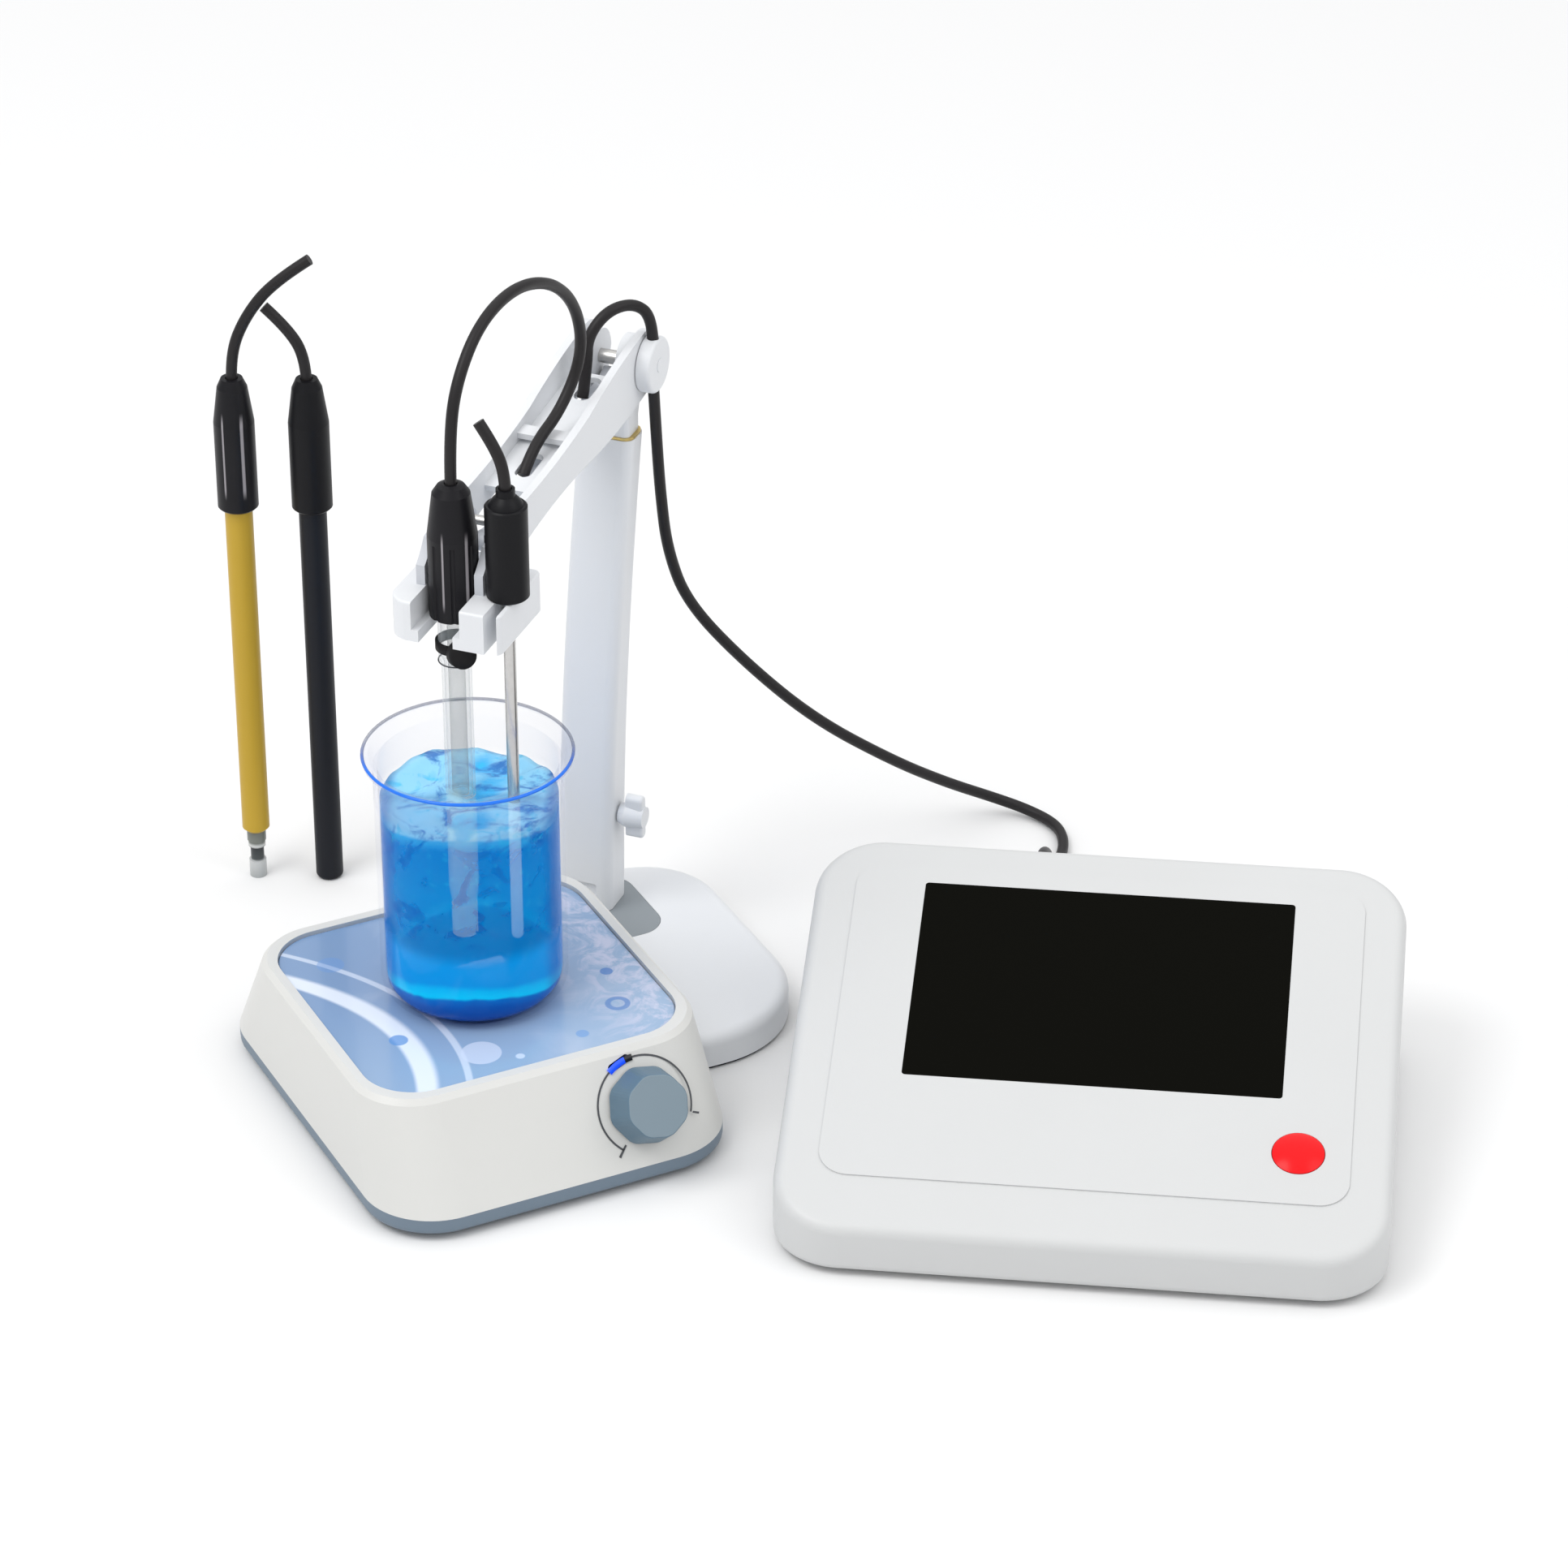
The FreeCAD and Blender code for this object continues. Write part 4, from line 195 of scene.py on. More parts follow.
# %% Lay the cord that leaves the arm for the meter
BRIDGE_ROUTE = [(-0.09288, 0.0985, 0.25386), (-0.09141, 0.10226, 0.268), (-0.09116, 0.10323, 0.279),
                (-0.08398, 0.10966, 0.288), (-0.07436, 0.11844, 0.288), (-0.06756, 0.12342, 0.28),
                (-0.06743, 0.1239, 0.268)]
METER_ROUTE = [(-0.06743, 0.1239, 0.248), (-0.06643, 0.1244, 0.222), (-0.06523, 0.1259, 0.196),
               (-0.06293, 0.1275, 0.17), (-0.05543, 0.1319, 0.143), (-0.03222, 0.14325, 0.109),
               (-0.00422, 0.15925, 0.074), (0.02778, 0.17925, 0.044), (0.04978, 0.19725, 0.024),
               (0.06928, 0.21225, 0.009), (0.08478, 0.21275, 0.0035), (0.09838, 0.20325, 0.0025),
               (0.10328, 0.18825, 0.0025), (0.10178, 0.17025, 0.0025), (0.09978, 0.14825, 0.015),
               (0.09778, 0.12325, 0.04), (0.09778, 0.0983, 0.04)]
bridge_jacket = lay_cord("bridge_jacket", BRIDGE_ROUTE,
                         bend=("arm", "column", (-0.0911, 0.103, 0.28), (-0.0698, 0.122, 0.28)))
meter_jacket = lay_cord("meter_jacket", METER_ROUTE,
                        bend=("column", "root", (-0.0664, 0.1244, 0.22), (-0.02, 0.15, 0.10)))

# %% Lay the short cords of the spare electrodes
YELLOW_ROUTE = [(-0.24418, 0.12475, 0.23805), (-0.24418, 0.12475, 0.25205), (-0.23718, 0.12675, 0.26905),
                (-0.22518, 0.12875, 0.28405), (-0.21018, 0.13075, 0.29405)]
BLACK_ROUTE = [(-0.21318, 0.12775, 0.23805), (-0.21318, 0.12775, 0.25005), (-0.21968, 0.12875, 0.26255),
               (-0.23018, 0.12975, 0.27205)]
yellow_jacket = lay_cord("yellow_jacket", YELLOW_ROUTE, body="root")
black_jacket = lay_cord("black_jacket", BLACK_ROUTE, body="root")

# %% [markdown]
# ## Floor and light
# The photograph is a studio shot on white. A wide pale floor, a bright even sky and two large
# soft lamps give the same broad, gentle shading, darker on the faces turned to the camera.

# %% Build the floor and the sky
FLOOR_HALF = 6
HORIZON_GREY = (0.33, 0.335, 0.345, 1)
ZENITH_WHITE = (1, 1, 1, 1)
SKY_STRENGTH = 1.3
floor_mesh = bpy.data.meshes.new("studio_floor")
shape = bmesh.new()
bmesh.ops.create_grid(shape, x_segments=1, y_segments=1, size=FLOOR_HALF)
shape.to_mesh(floor_mesh)
shape.free()
floor = bpy.data.objects.new("studio_floor", floor_mesh)
bpy.context.scene.collection.objects.link(floor)
world = bpy.data.worlds.new("studio_sky")
bpy.context.scene.world = world
world.use_nodes = True
sky = world.node_tree
direction = sky.nodes.new("ShaderNodeTexCoord")
split = sky.nodes.new("ShaderNodeSeparateXYZ")
dome = sky.nodes.new("ShaderNodeValToRGB")
sky.links.new(direction.outputs["Generated"], split.inputs[0])
sky.links.new(split.outputs["Z"], dome.inputs[0])
sky.links.new(dome.outputs["Color"], sky.nodes["Background"].inputs["Color"])
dome.color_ramp.elements[0].color = HORIZON_GREY
dome.color_ramp.elements[1].color = ZENITH_WHITE
sky.nodes["Background"].inputs["Strength"].default_value = SKY_STRENGTH
bpy.context.scene.view_settings.view_transform = "Standard"
print("studio with a floor of", 2 * FLOOR_HALF, "m")


# %% Hang two soft lamps
def soft_lamp(name, place, aim, size, watts):
    """A round lamp, turned to look at a point."""
    data = bpy.data.lights.new(name, "AREA")
    data.shape = "DISK"
    data.size = size
    data.energy = watts
    lamp = bpy.data.objects.new(name, data)
    lamp.location = place
    lamp.rotation_euler = (Vector(aim) - Vector(place)).to_track_quat("-Z", "Y").to_euler()
    bpy.context.scene.collection.objects.link(lamp)
    print(name, "of", size, "m and", watts, "W")


soft_lamp("key_lamp", place=(-1.0, -0.7, 1.9), aim=(0, 0, 0.05), size=1.2, watts=16)
soft_lamp("fill_lamp", place=(1.5, -0.4, 1.6), aim=(0, 0, 0.1), size=1.4, watts=6)

# %% [markdown]
# ## Shader maths in plain sums
# A finish is a small network of nodes. Writing it as sums is easier to read than wiring it, so one
# class wraps a socket and turns Python's operators into Math nodes, and another makes every node.

# %% Wires and finishes
class Wire:
    """A socket that can be used in sums."""

    def __init__(self, finish, socket):
        self.finish = finish
        self.socket = socket

    def math(self, operation, *values):
        return self.finish.node("ShaderNodeMath", {"operation": operation}, dict(enumerate(values)))

    def __add__(self, other):
        return self.math("ADD", self, other)

    def __sub__(self, other):
        return self.math("SUBTRACT", self, other)

    def __rsub__(self, other):
        return self.math("SUBTRACT", other, self)

    def __mul__(self, other):
        return self.math("MULTIPLY", self, other)

    def __truediv__(self, other):
        return self.math("DIVIDE", self, other)

    def __pow__(self, other):
        return self.math("POWER", self, other)

    def __abs__(self):
        return self.math("ABSOLUTE", self)

    def most(self, other):
        return self.math("MAXIMUM", self, other)

    __radd__ = __add__
    __rmul__ = __mul__


def photo_colour(red, green, blue):
    """A colour given as it looks on a screen, from 0 to 255, as the light that the shader needs."""
    return tuple(((part / 255 + 0.055) / 1.055) ** 2.4 for part in (red, green, blue))


class Finish:
    """One material: its shader and the nodes that feed it."""

    def __init__(self, name, **sockets):
        self.material = bpy.data.materials.new(name)
        self.material.use_nodes = True
        self.tree = self.material.node_tree
        self.shader = self.tree.nodes["Principled BSDF"]
        self.set(**sockets)

    def feed(self, socket, value):
        """Links a wire to a socket, or sets the socket to a number or a colour."""
        if isinstance(value, Wire):
            self.tree.links.new(value.socket, socket)
        elif isinstance(value, tuple) and len(value) == 3 and len(socket.default_value) == 4:
            socket.default_value = (*value, 1)
        else:
            socket.default_value = value

    def node(self, kind, settings=None, values=None, output=0):
        """Any node: its settings come first, then the values or links of its sockets."""
        made = self.tree.nodes.new(kind)
        for name, value in (settings or {}).items():
            if name == "stops":
                ramp = made.color_ramp
                while len(ramp.elements) < len(value):
                    ramp.elements.new(0.5)
                for element, (place, colour) in zip(ramp.elements, value):
                    element.position = place
                    element.color = (*colour, 1)
            else:
                setattr(made, name, value)
        for socket, value in (values or {}).items():
            self.feed(made.inputs[socket], value)
        return Wire(self, made.outputs[output])

    def set(self, **sockets):
        """Sockets of the shader, with an underscore for each space in their names."""
        for name, value in sockets.items():
            self.feed(self.shader.inputs[name.replace("_", " ")], value)

    def place(self, centre=(0, 0, 0), turn=0.0):
        """Object coordinates measured from a centre, turned about the upright axis."""
        where = self.node("ShaderNodeTexCoord", output="Object")
        return self.node("ShaderNodeMapping", {"vector_type": "TEXTURE"},
                         {"Vector": where, "Location": centre, "Rotation": (0, 0, turn)})

    def axes(self, vector):
        """The three numbers of a vector."""
        return [self.node("ShaderNodeSeparateXYZ", values={0: vector}, output=number)
                for number in range(3)]

    def noise(self, vector, scale, detail, roughness=0.5, distortion=0.0):
        return self.node("ShaderNodeTexNoise", values={
            "Vector": vector, "Scale": scale, "Detail": detail, "Roughness": roughness,
            "Distortion": distortion})

    def mix(self, share, first, second):
        """A share of the second colour over the first, on a Mix node's colour sockets 6 and 7."""
        return self.node("ShaderNodeMix", {"data_type": "RGBA"}, {0: share, 6: first, 7: second},
                         output=2)

    def ramp(self, value, stops):
        return self.node("ShaderNodeValToRGB", {"stops": stops}, {0: value})

    def step(self, value, start, end):
        """0 before start, 1 after end, with a soft edge between."""
        return self.node("ShaderNodeMapRange", {"interpolation_type": "SMOOTHSTEP"},
                         {0: value, 1: start, 2: end})

    def bump(self, height, distance, strength):
        return self.node("ShaderNodeBump", values={"Height": height, "Distance": distance,
                                                   "Strength": strength})


def dress(finish, *names):
    """Gives CAD nodes or new pieces a finish in place of their own."""
    for name in names:
        piece = nodes.get(name) if isinstance(name, str) else name
        piece.data.materials.clear()
        piece.data.materials.append(finish.material)


print("finishes are ready to mix")

# %% [markdown]
# ## Moulded plastics
# Most of the set is injection-moulded plastic. Its surface has a fine spark-eroded grain, the sheen
# varies slightly where the melt flowed, and the colour is never perfectly even. A picture of plastic
# would show its seams, so three layers of noise, each at its own scale, give these.

# %% Mix the plastics
CLOUD_SCALE = 9
FLOW_SCALE = 60
PORE_SCALE = 1900
PORE_STRENGTH = 0.6
FINE_GRAIN = 0.00004
DARKEST = 0.94


def moulded(name, colour, roughness, grain=FINE_GRAIN, gloss=0.4):
    """Plastic with a cloudy colour, a sheen that follows the flow, and pores."""
    finish = Finish(name, Specular_IOR_Level=gloss)
    where = finish.place()
    cloud = finish.noise(where, CLOUD_SCALE, 2)
    flow = finish.noise(where, FLOW_SCALE, 4, 0.6)
    pores = finish.noise(where, PORE_SCALE, 2, 0.7)
    dark = tuple(part * DARKEST for part in colour)
    shade = cloud * 0.7 + flow * 0.3
    finish.set(Base_Color=finish.mix(shade, dark, colour))
    finish.set(Roughness=flow * 0.10 + (roughness - 0.05))
    finish.set(Normal=finish.bump(pores, grain, PORE_STRENGTH))
    return finish


meter_white = moulded("meter_white", photo_colour(205, 206, 206), 0.42)
stirrer_white = moulded("stirrer_white", photo_colour(214, 214, 211), 0.38)
stand_white = moulded("stand_white_finish", photo_colour(227, 229, 232), 0.42)
arm_grey = moulded("arm_grey", photo_colour(205, 208, 214), 0.42)
band_blue = moulded("band_blue", photo_colour(112, 128, 143), 0.45)
inlay_grey = moulded("inlay_grey", photo_colour(140, 147, 152), 0.55)
cap_black = moulded("cap_black_finish", photo_colour(20, 20, 23), 0.42, gloss=0.16)
socket_black = moulded("socket_black", photo_colour(30, 31, 33), 0.5, gloss=0.2)
tube_black = moulded("tube_black", photo_colour(28, 30, 36), 0.42, gloss=0.16)
mustard = moulded("mustard", photo_colour(194, 158, 40), 0.42)
dress(meter_white, "meter_top_case", "meter_bottom_case")
dress(stirrer_white, "stirrer_housing")
dress(stand_white, "stand_base", "column_foot", "column_shell", "column_head", "hub_cap", "arm_channel",
      "electrode_holder", "clamp_knob")
dress(arm_grey, "holder_bracket", "level_link")
dress(band_blue, "stirrer_base_pan")
dress(inlay_grey, "base_inlay")
dress(cap_black, "temp_cap", "black_cap")
dress(socket_black, "probe_sockets", "power_jacks", "display_module", "button_switch", "magnet_carrier")
dress(tube_black, "black_tube")
dress(mustard, "yellow_tube")
print("ten plastics, the darkest patches at", DARKEST, "of their colour")

# %% [markdown]
# ## Rubber, metal and boards
# Rubber is like plastic with a coarser grain and less gloss. Metal parts are turned on a lathe, and
# their shine varies a little with the tool's marks. These are small, so fine noise stands in for
# streaks round each axis. The screen is switched off, nearly black, and gives off no light.

# %% Mix rubber, metal and board finishes
rubber = moulded("rubber", photo_colour(26, 25, 26), 0.62, 0.00008, gloss=0.18)
jacket_black = moulded("jacket_black", photo_colour(38, 36, 37), 0.42, 0.00003, gloss=0.22)
screen_black = Finish("screen_black", Base_Color=photo_colour(7, 7, 2), Roughness=0.25,
                      Specular_IOR_Level=0.03)
dress(rubber, "rubber_feet", "base_sole", "ph_filler_plug")
dress(jacket_black, ph_jacket, temp_jacket, bridge_jacket, meter_jacket, yellow_jacket, black_jacket)
dress(screen_black, "screen_glass")
METAL_SCALE = 420


def turned_metal(name, colour, roughness):
    """Metal whose colour and shine vary a little from the tool that turned it."""
    finish = Finish(name, Metallic=1.0)
    turning = finish.noise(finish.place(), METAL_SCALE, 3, 0.6)
    finish.set(Base_Color=finish.mix(turning, tuple(part * 0.88 for part in colour), colour))
    finish.set(Roughness=turning * 0.15 + roughness)
    return finish


steel = turned_metal("steel_finish", (0.62, 0.61, 0.59), 0.22)
nickel = turned_metal("nickel", (0.75, 0.74, 0.71), 0.14)
brass = turned_metal("brass", (0.62, 0.47, 0.18), 0.3)
dress(steel, "case_screws", "drive_motor", "hub_axle", "bracket_pins", "pot_shaft")
dress(nickel, "bnc_sockets", "usb_socket", "drive_magnets", "cord_plug")
dress(brass, "brass_collar")
board_green = moulded("board_green", photo_colour(24, 88, 52), 0.4)
dress(board_green, "main_board", "speed_pot")
polymer_white = moulded("polymer_white", photo_colour(244, 244, 242), 0.3)
dress(polymer_white, "stir_bar")
red_dome = Finish("red_dome", Base_Color=photo_colour(236, 8, 18), Roughness=0.25, Specular_IOR_Level=0.2)
dress(red_dome, "power_button")
lamp_blue = Finish("lamp_blue", Base_Color=photo_colour(20, 70, 220), Roughness=0.2,
                   Emission_Color=photo_colour(20, 80, 255), Emission_Strength=0.5)
print(len(bpy.data.materials), "materials so far")

# %% [markdown]
# ## Glass, and what stands in the water
# Real refraction through a beaker, its water and a tube inside a tube takes many light bounces. Thin
# glass shows mostly by its edges, so the wall is nearly clear where it faces the eye and denser where
# it curves away. Below the water's surface the dipped parts turn pale and give off a painted glow,
# so that they stand out.

# %% Blow the glass
WATER_LINE = 0.141
GLASS_BEND = 1.47
BEAKER_WET = photo_colour(24, 104, 190)
BEAKER_DRY = photo_colour(165, 176, 215)
UNLIT = (0.0, 0.0, 0.0)


def curved_away(finish):
    """0 where the wall faces the eye, rising to 1 where it curves away."""
    return finish.node("ShaderNodeLayerWeight", values={"Blend": 0.35}, output="Facing") ** 2


def under_water(finish, where):
    """1 below the water's surface and 0 above it."""
    return 1 - finish.step(finish.axes(where)[2], WATER_LINE - 0.001, WATER_LINE + 0.001)


beaker_glass = Finish("beaker_glass", Roughness=0.04, IOR=GLASS_BEND)
above = beaker_glass.step(beaker_glass.axes(beaker_glass.place())[2], WATER_LINE - 0.003,
                          WATER_LINE + 0.002)
beaker_glass.set(Alpha=curved_away(beaker_glass) * (above * 0.30 + 0.10) + (above * 0.035 + 0.006))
beaker_glass.set(Base_Color=beaker_glass.mix(above, BEAKER_WET, BEAKER_DRY))


def dipped_glass(name, colour, middle, edge, wet_colour, wet_share):
    """Clear glass that stands out pale where it is under water, with a painted glow there."""
    finish = Finish(name, Roughness=0.08, IOR=GLASS_BEND)
    where = finish.place()
    wet = under_water(finish, where)
    film = finish.noise(where, 240, 3, 0.6, 1.0)
    dry_alpha = curved_away(finish) * (edge - middle) + middle
    pale = finish.mix(film, tuple(part * 0.72 for part in wet_colour), wet_colour)
    finish.set(Alpha=dry_alpha.most(wet * wet_share), Base_Color=finish.mix(wet, colour, pale))
    # Painted glow: under water the pale colour is also given off as light.
    finish.set(Emission_Color=finish.mix(wet, UNLIT, pale), Emission_Strength=0.22)
    return finish


electrode_glass = dipped_glass("electrode_glass_finish", photo_colour(205, 212, 216), 0.07, 0.6,
                               photo_colour(200, 210, 206), 0.62)
inner_glass = dipped_glass("inner_glass_finish", photo_colour(150, 158, 158), 0.22, 0.75,
                           photo_colour(206, 208, 198), 0.85)
amber = dipped_glass("amber", photo_colour(190, 175, 120), 0.7, 0.95, photo_colour(218, 208, 178), 0.95)
dress(beaker_glass, "beaker")
dress(electrode_glass, "ph_glass_tube")
dress(inner_glass, "ph_inner_tube")
dress(amber, "ph_tip_guard")
print("glass turns wet at", 1000 * WATER_LINE, "mm")

# %% Draw the temperature rod's steel
STEEL_UNDER_WATER = photo_colour(200, 204, 208)
rod_steel = Finish("rod_steel", Roughness=0.24)
where = rod_steel.place()
wet = under_water(rod_steel, where)
drawn = rod_steel.noise(where, METAL_SCALE, 3, 0.6)
dry_steel = rod_steel.mix(drawn, (0.50, 0.49, 0.48), (0.62, 0.61, 0.60))
rod_steel.set(Metallic=1 - wet, Base_Color=rod_steel.mix(wet, dry_steel, STEEL_UNDER_WATER))
# Painted glow: under water the rod gives off its pale colour as light.
rod_steel.set(Emission_Color=rod_steel.mix(wet, UNLIT, STEEL_UNDER_WATER), Emission_Strength=0.25)
dress(rod_steel, "temp_rod")
floor_white = Finish("floor_white", Base_Color=(0.82, 0.82, 0.82), Roughness=0.8)
dress(floor_white, floor)
print(len(bpy.data.materials), "materials")

# %% [markdown]
# ## The blue sample
# The beaker holds a blue solution that the magnet keeps in motion. A fluid simulation would be slow
# and hard to repeat, so a lathe profile gives the body of water with the beaker's round heel, and
# smooth noise ripples its top. The near half lets the electrodes show through and the far half is
# dense, as deep water is.

# %% Turn the water and ripple its top
WATER_FLOOR = 0.0537
WATER_TOP = WATER_LINE + 0.0002
WATER_RADIUS = 0.0357
HEEL_HEIGHT = 0.008
HEEL = [(0, 0), (0.029, 0), (0.033, 0.0012), (0.0352, 0.0044)]
WALL_STEPS = 10
TOP_RINGS = 12
RIPPLE_HEIGHT = 0.0030
MERGE_DISTANCE = 1e-6


def new_piece(name, shape, body="root", smooth=True):
    """Turns a finished bmesh into an object that rides on a body."""
    bmesh.ops.remove_doubles(shape, verts=shape.verts, dist=MERGE_DISTANCE)
    bmesh.ops.recalc_face_normals(shape, faces=shape.faces)
    data = bpy.data.meshes.new(name)
    shape.to_mesh(data)
    shape.free()
    for face in data.polygons:
        face.use_smooth = smooth
    piece = bpy.data.objects.new(name, data)
    bpy.context.scene.collection.objects.link(piece)
    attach(piece, body)
    return piece


def spun(profile, steps, angle=math.tau, closed=False):
    """A profile of (radius, height) points spun about the upright axis."""
    shape = bmesh.new()
    line = [shape.verts.new((radius, 0, height)) for radius, height in profile]
    ends = line[1:] + line[:1] if closed else line[1:]
    for first, second in zip(line, ends):
        shape.edges.new((first, second))
    bmesh.ops.spin(shape, geom=shape.verts[:] + shape.edges[:], axis=(0, 0, 1), cent=(0, 0, 0),
                   angle=angle, steps=steps, use_merge=angle == math.tau)
    return shape


wall_height = WATER_TOP - WATER_FLOOR - HEEL_HEIGHT
profile = [(radius, WATER_FLOOR + rise) for radius, rise in HEEL]
profile += [(WATER_RADIUS, WATER_FLOOR + HEEL_HEIGHT + wall_height * share / WALL_STEPS)
            for share in range(WALL_STEPS + 1)]
profile += [(WATER_RADIUS * share / TOP_RINGS, WATER_TOP) for share in reversed(range(TOP_RINGS))]
shape = spun(profile, 96)
for vertex in shape.verts:
    if vertex.co.z > WATER_TOP - 0.001:
        swell = noise.noise(vertex.co * 55) + 0.5 * noise.noise(vertex.co * 130)
        vertex.co.z += RIPPLE_HEIGHT * swell
bmesh.ops.translate(shape, verts=shape.verts, vec=BEAKER)
sample_water = new_piece("sample_water", shape)
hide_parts("sample_liquid")
print("water of", len(sample_water.data.polygons), "faces")

# %% Colour the water
water = Finish("water", Roughness=0.12, IOR=1.33, Specular_IOR_Level=0.3)
inside = water.place(tuple(BEAKER), FRONT_TURN)
across, away, height = water.axes(inside)
level = (height - WATER_FLOOR) / (WATER_TOP - WATER_FLOOR)
swirl = water.noise(inside, 38, 5, 0.62, 1.6)
fine_swirl = water.noise(inside, 120, 4, 0.6, 0.8)
heel = level + across * across * 60 + (swirl - 0.5) * 0.05
depth_colour = water.ramp(heel, [
    (0.0, photo_colour(0, 54, 140)),
    (0.10, photo_colour(0, 74, 160)),
    (0.14, photo_colour(0, 96, 182)),
    (0.155, photo_colour(0, 186, 232)),
    (0.19, photo_colour(0, 170, 226)),
    (0.22, photo_colour(0, 136, 210)),
    (0.70, photo_colour(0, 144, 216)),
    (0.93, photo_colour(0, 128, 206)),
    (0.985, photo_colour(64, 176, 232)),
    (1.0, photo_colour(150, 214, 243))])
clouds = water.step(swirl, 0.50, 0.64) * water.step(level, 0.30, 0.62) * 0.85
wisps = water.step(fine_swirl, 0.54, 0.70) * water.step(level, 0.40, 0.8) * 0.6
shaded = water.mix(clouds, depth_colour, photo_colour(0, 92, 178))
shaded = water.mix(wisps, shaded, photo_colour(50, 190, 232))
# Painted shade: the water is darker at its left and right flanks, as seen from the set's front.
painted_flank_shade = water.step(abs(across), 0.0285, 0.0335) * 0.6
shaded = water.mix(painted_flank_shade, shaded, photo_colour(0, 84, 168))
# Painted glow: the water gives off its own colour as light, though it is no lamp.
water.set(Base_Color=shaded, Emission_Color=shaded, Emission_Strength=0.22)
far_half = water.step(away, -0.010, 0.006)
surface = water.step(level, 0.975, 0.99)
dense = 1 - water.step(level, 0.30, 0.40)
near_share = dense * 0.44 + 0.56
water.set(Alpha=near_share.most(far_half) - surface * far_half * 0.2)
dress(water, sample_water)
print("water coloured with", len(water.tree.nodes), "nodes")

# %% [markdown]
# ## The beaker's lip
# The turned-out lip gathers the blue of the water into a bright line along its front, here a painted
# reflection in the ring's colour. At the back it is a thin dark line. A slim ring laid on the lip
# carries both, so the glass itself stays plain.

# %% Ring the lip
LIP_RADIUS = 0.0419
LIP_HEIGHT = 0.1609
RING_SIDES = 10


def ring(name, radius, half_thickness, height, centre, body="root"):
    """A slim round ring about an upright line."""
    turns = [side * math.tau / RING_SIDES for side in range(RING_SIDES)]
    profile = [(radius + half_thickness * math.cos(turn), height + half_thickness * math.sin(turn))
               for turn in turns]
    shape = spun(profile, 96, closed=True)
    bmesh.ops.translate(shape, verts=shape.verts, vec=centre)
    return new_piece(name, shape, body)


lip_line = ring("lip_line", LIP_RADIUS, 0.0007, LIP_HEIGHT, BEAKER)
lip = Finish("lip_glass", Roughness=0.08, IOR=GLASS_BEND)
away = lip.axes(lip.place(tuple(BEAKER), FRONT_TURN))[1]
# Painted reflection: the lip's front is coloured bright blue, the water's blue caught in the glass.
lip_front_reflection = 1 - lip.step(away, -0.020, 0.012)
lip.set(Base_Color=lip.mix(lip_front_reflection, photo_colour(96, 104, 132), photo_colour(10, 112, 232)))
lip.set(Alpha=lip_front_reflection * 0.6 + 0.4)
dress(lip, lip_line)
print("a lip", round(2000 * LIP_RADIUS, 1), "mm across")

# %% [markdown]
# ## The speed knob and its dial
# The knob is an eight-sided moulding, easy to grip with wet fingers, that tapers a little to its
# face. An eight-sided cone with bevelled edges is just that. A printed arc runs clockwise round it
# from stop to stop, with a short tick at both ends, and a blue lamp lies on the arc near its top.

# %% Facet the knob
KNOB_PLACE = Vector(joints["knob_turn"]["pos_m"])
KNOB_AXIS = Vector(joints["knob_turn"]["axis"]).normalized()
KNOB_SIDES = 8
KNOB_BACK_RADIUS = 0.0166
KNOB_FACE_RADIUS = 0.0136
KNOB_LENGTH = 0.0138
KNOB_MIDDLE = 0.0083
KNOB_START = 12
up = (Vector((0, 0, 1)) - KNOB_AXIS * KNOB_AXIS.z).normalized()
right = up.cross(KNOB_AXIS)
KNOB_FRAME = Matrix((right, up, KNOB_AXIS)).transposed().to_4x4()
KNOB_FRAME.translation = KNOB_PLACE
shape = bmesh.new()
bmesh.ops.create_cone(shape, cap_ends=True, segments=KNOB_SIDES, radius1=KNOB_BACK_RADIUS,
                      radius2=KNOB_FACE_RADIUS, depth=KNOB_LENGTH)
bmesh.ops.rotate(shape, verts=shape.verts, matrix=Matrix.Rotation(math.radians(KNOB_START), 3, "Z"))
long_edges = [edge for edge in shape.edges
              if abs(edge.verts[0].co.z - edge.verts[1].co.z) > KNOB_LENGTH / 2]
bmesh.ops.bevel(shape, geom=long_edges, offset=0.0026, offset_type="OFFSET", segments=4, profile=0.5,
                affect="EDGES", material=-1)
front_edges = [edge for edge in shape.edges if min(vertex.co.z for vertex in edge.verts) > 0]
bmesh.ops.bevel(shape, geom=front_edges, offset=0.0005, offset_type="OFFSET", segments=3, profile=0.5,
                affect="EDGES", material=-1)
bmesh.ops.translate(shape, verts=shape.verts, vec=(0, 0, KNOB_MIDDLE))
bmesh.ops.transform(shape, matrix=KNOB_FRAME, verts=shape.verts)
grip_knob = new_piece("grip_knob", shape, "knob", smooth=False)
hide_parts("speed_knob")
# Painted light and shade: one moulded colour in two copies, the face painted lighter and the sides
# darker.
knob_side_painted_shade = moulded("knob_side_painted_shade", photo_colour(92, 118, 136), 0.42)
knob_face_painted_light = moulded("knob_face_painted_light", photo_colour(126, 143, 154), 0.42)
dress(knob_side_painted_shade, grip_knob)
grip_knob.data.materials.append(knob_face_painted_light.material)
for face in grip_knob.data.polygons:
    if face.normal.dot(KNOB_AXIS) > 0.9:
        face.material_index = 1
print("knob of", len(grip_knob.data.polygons), "faces")

# %% Print the dial
DIAL_RADIUS = 0.0200
DIAL_SWEEP = 252
PRINT_LIFT = 0.0002


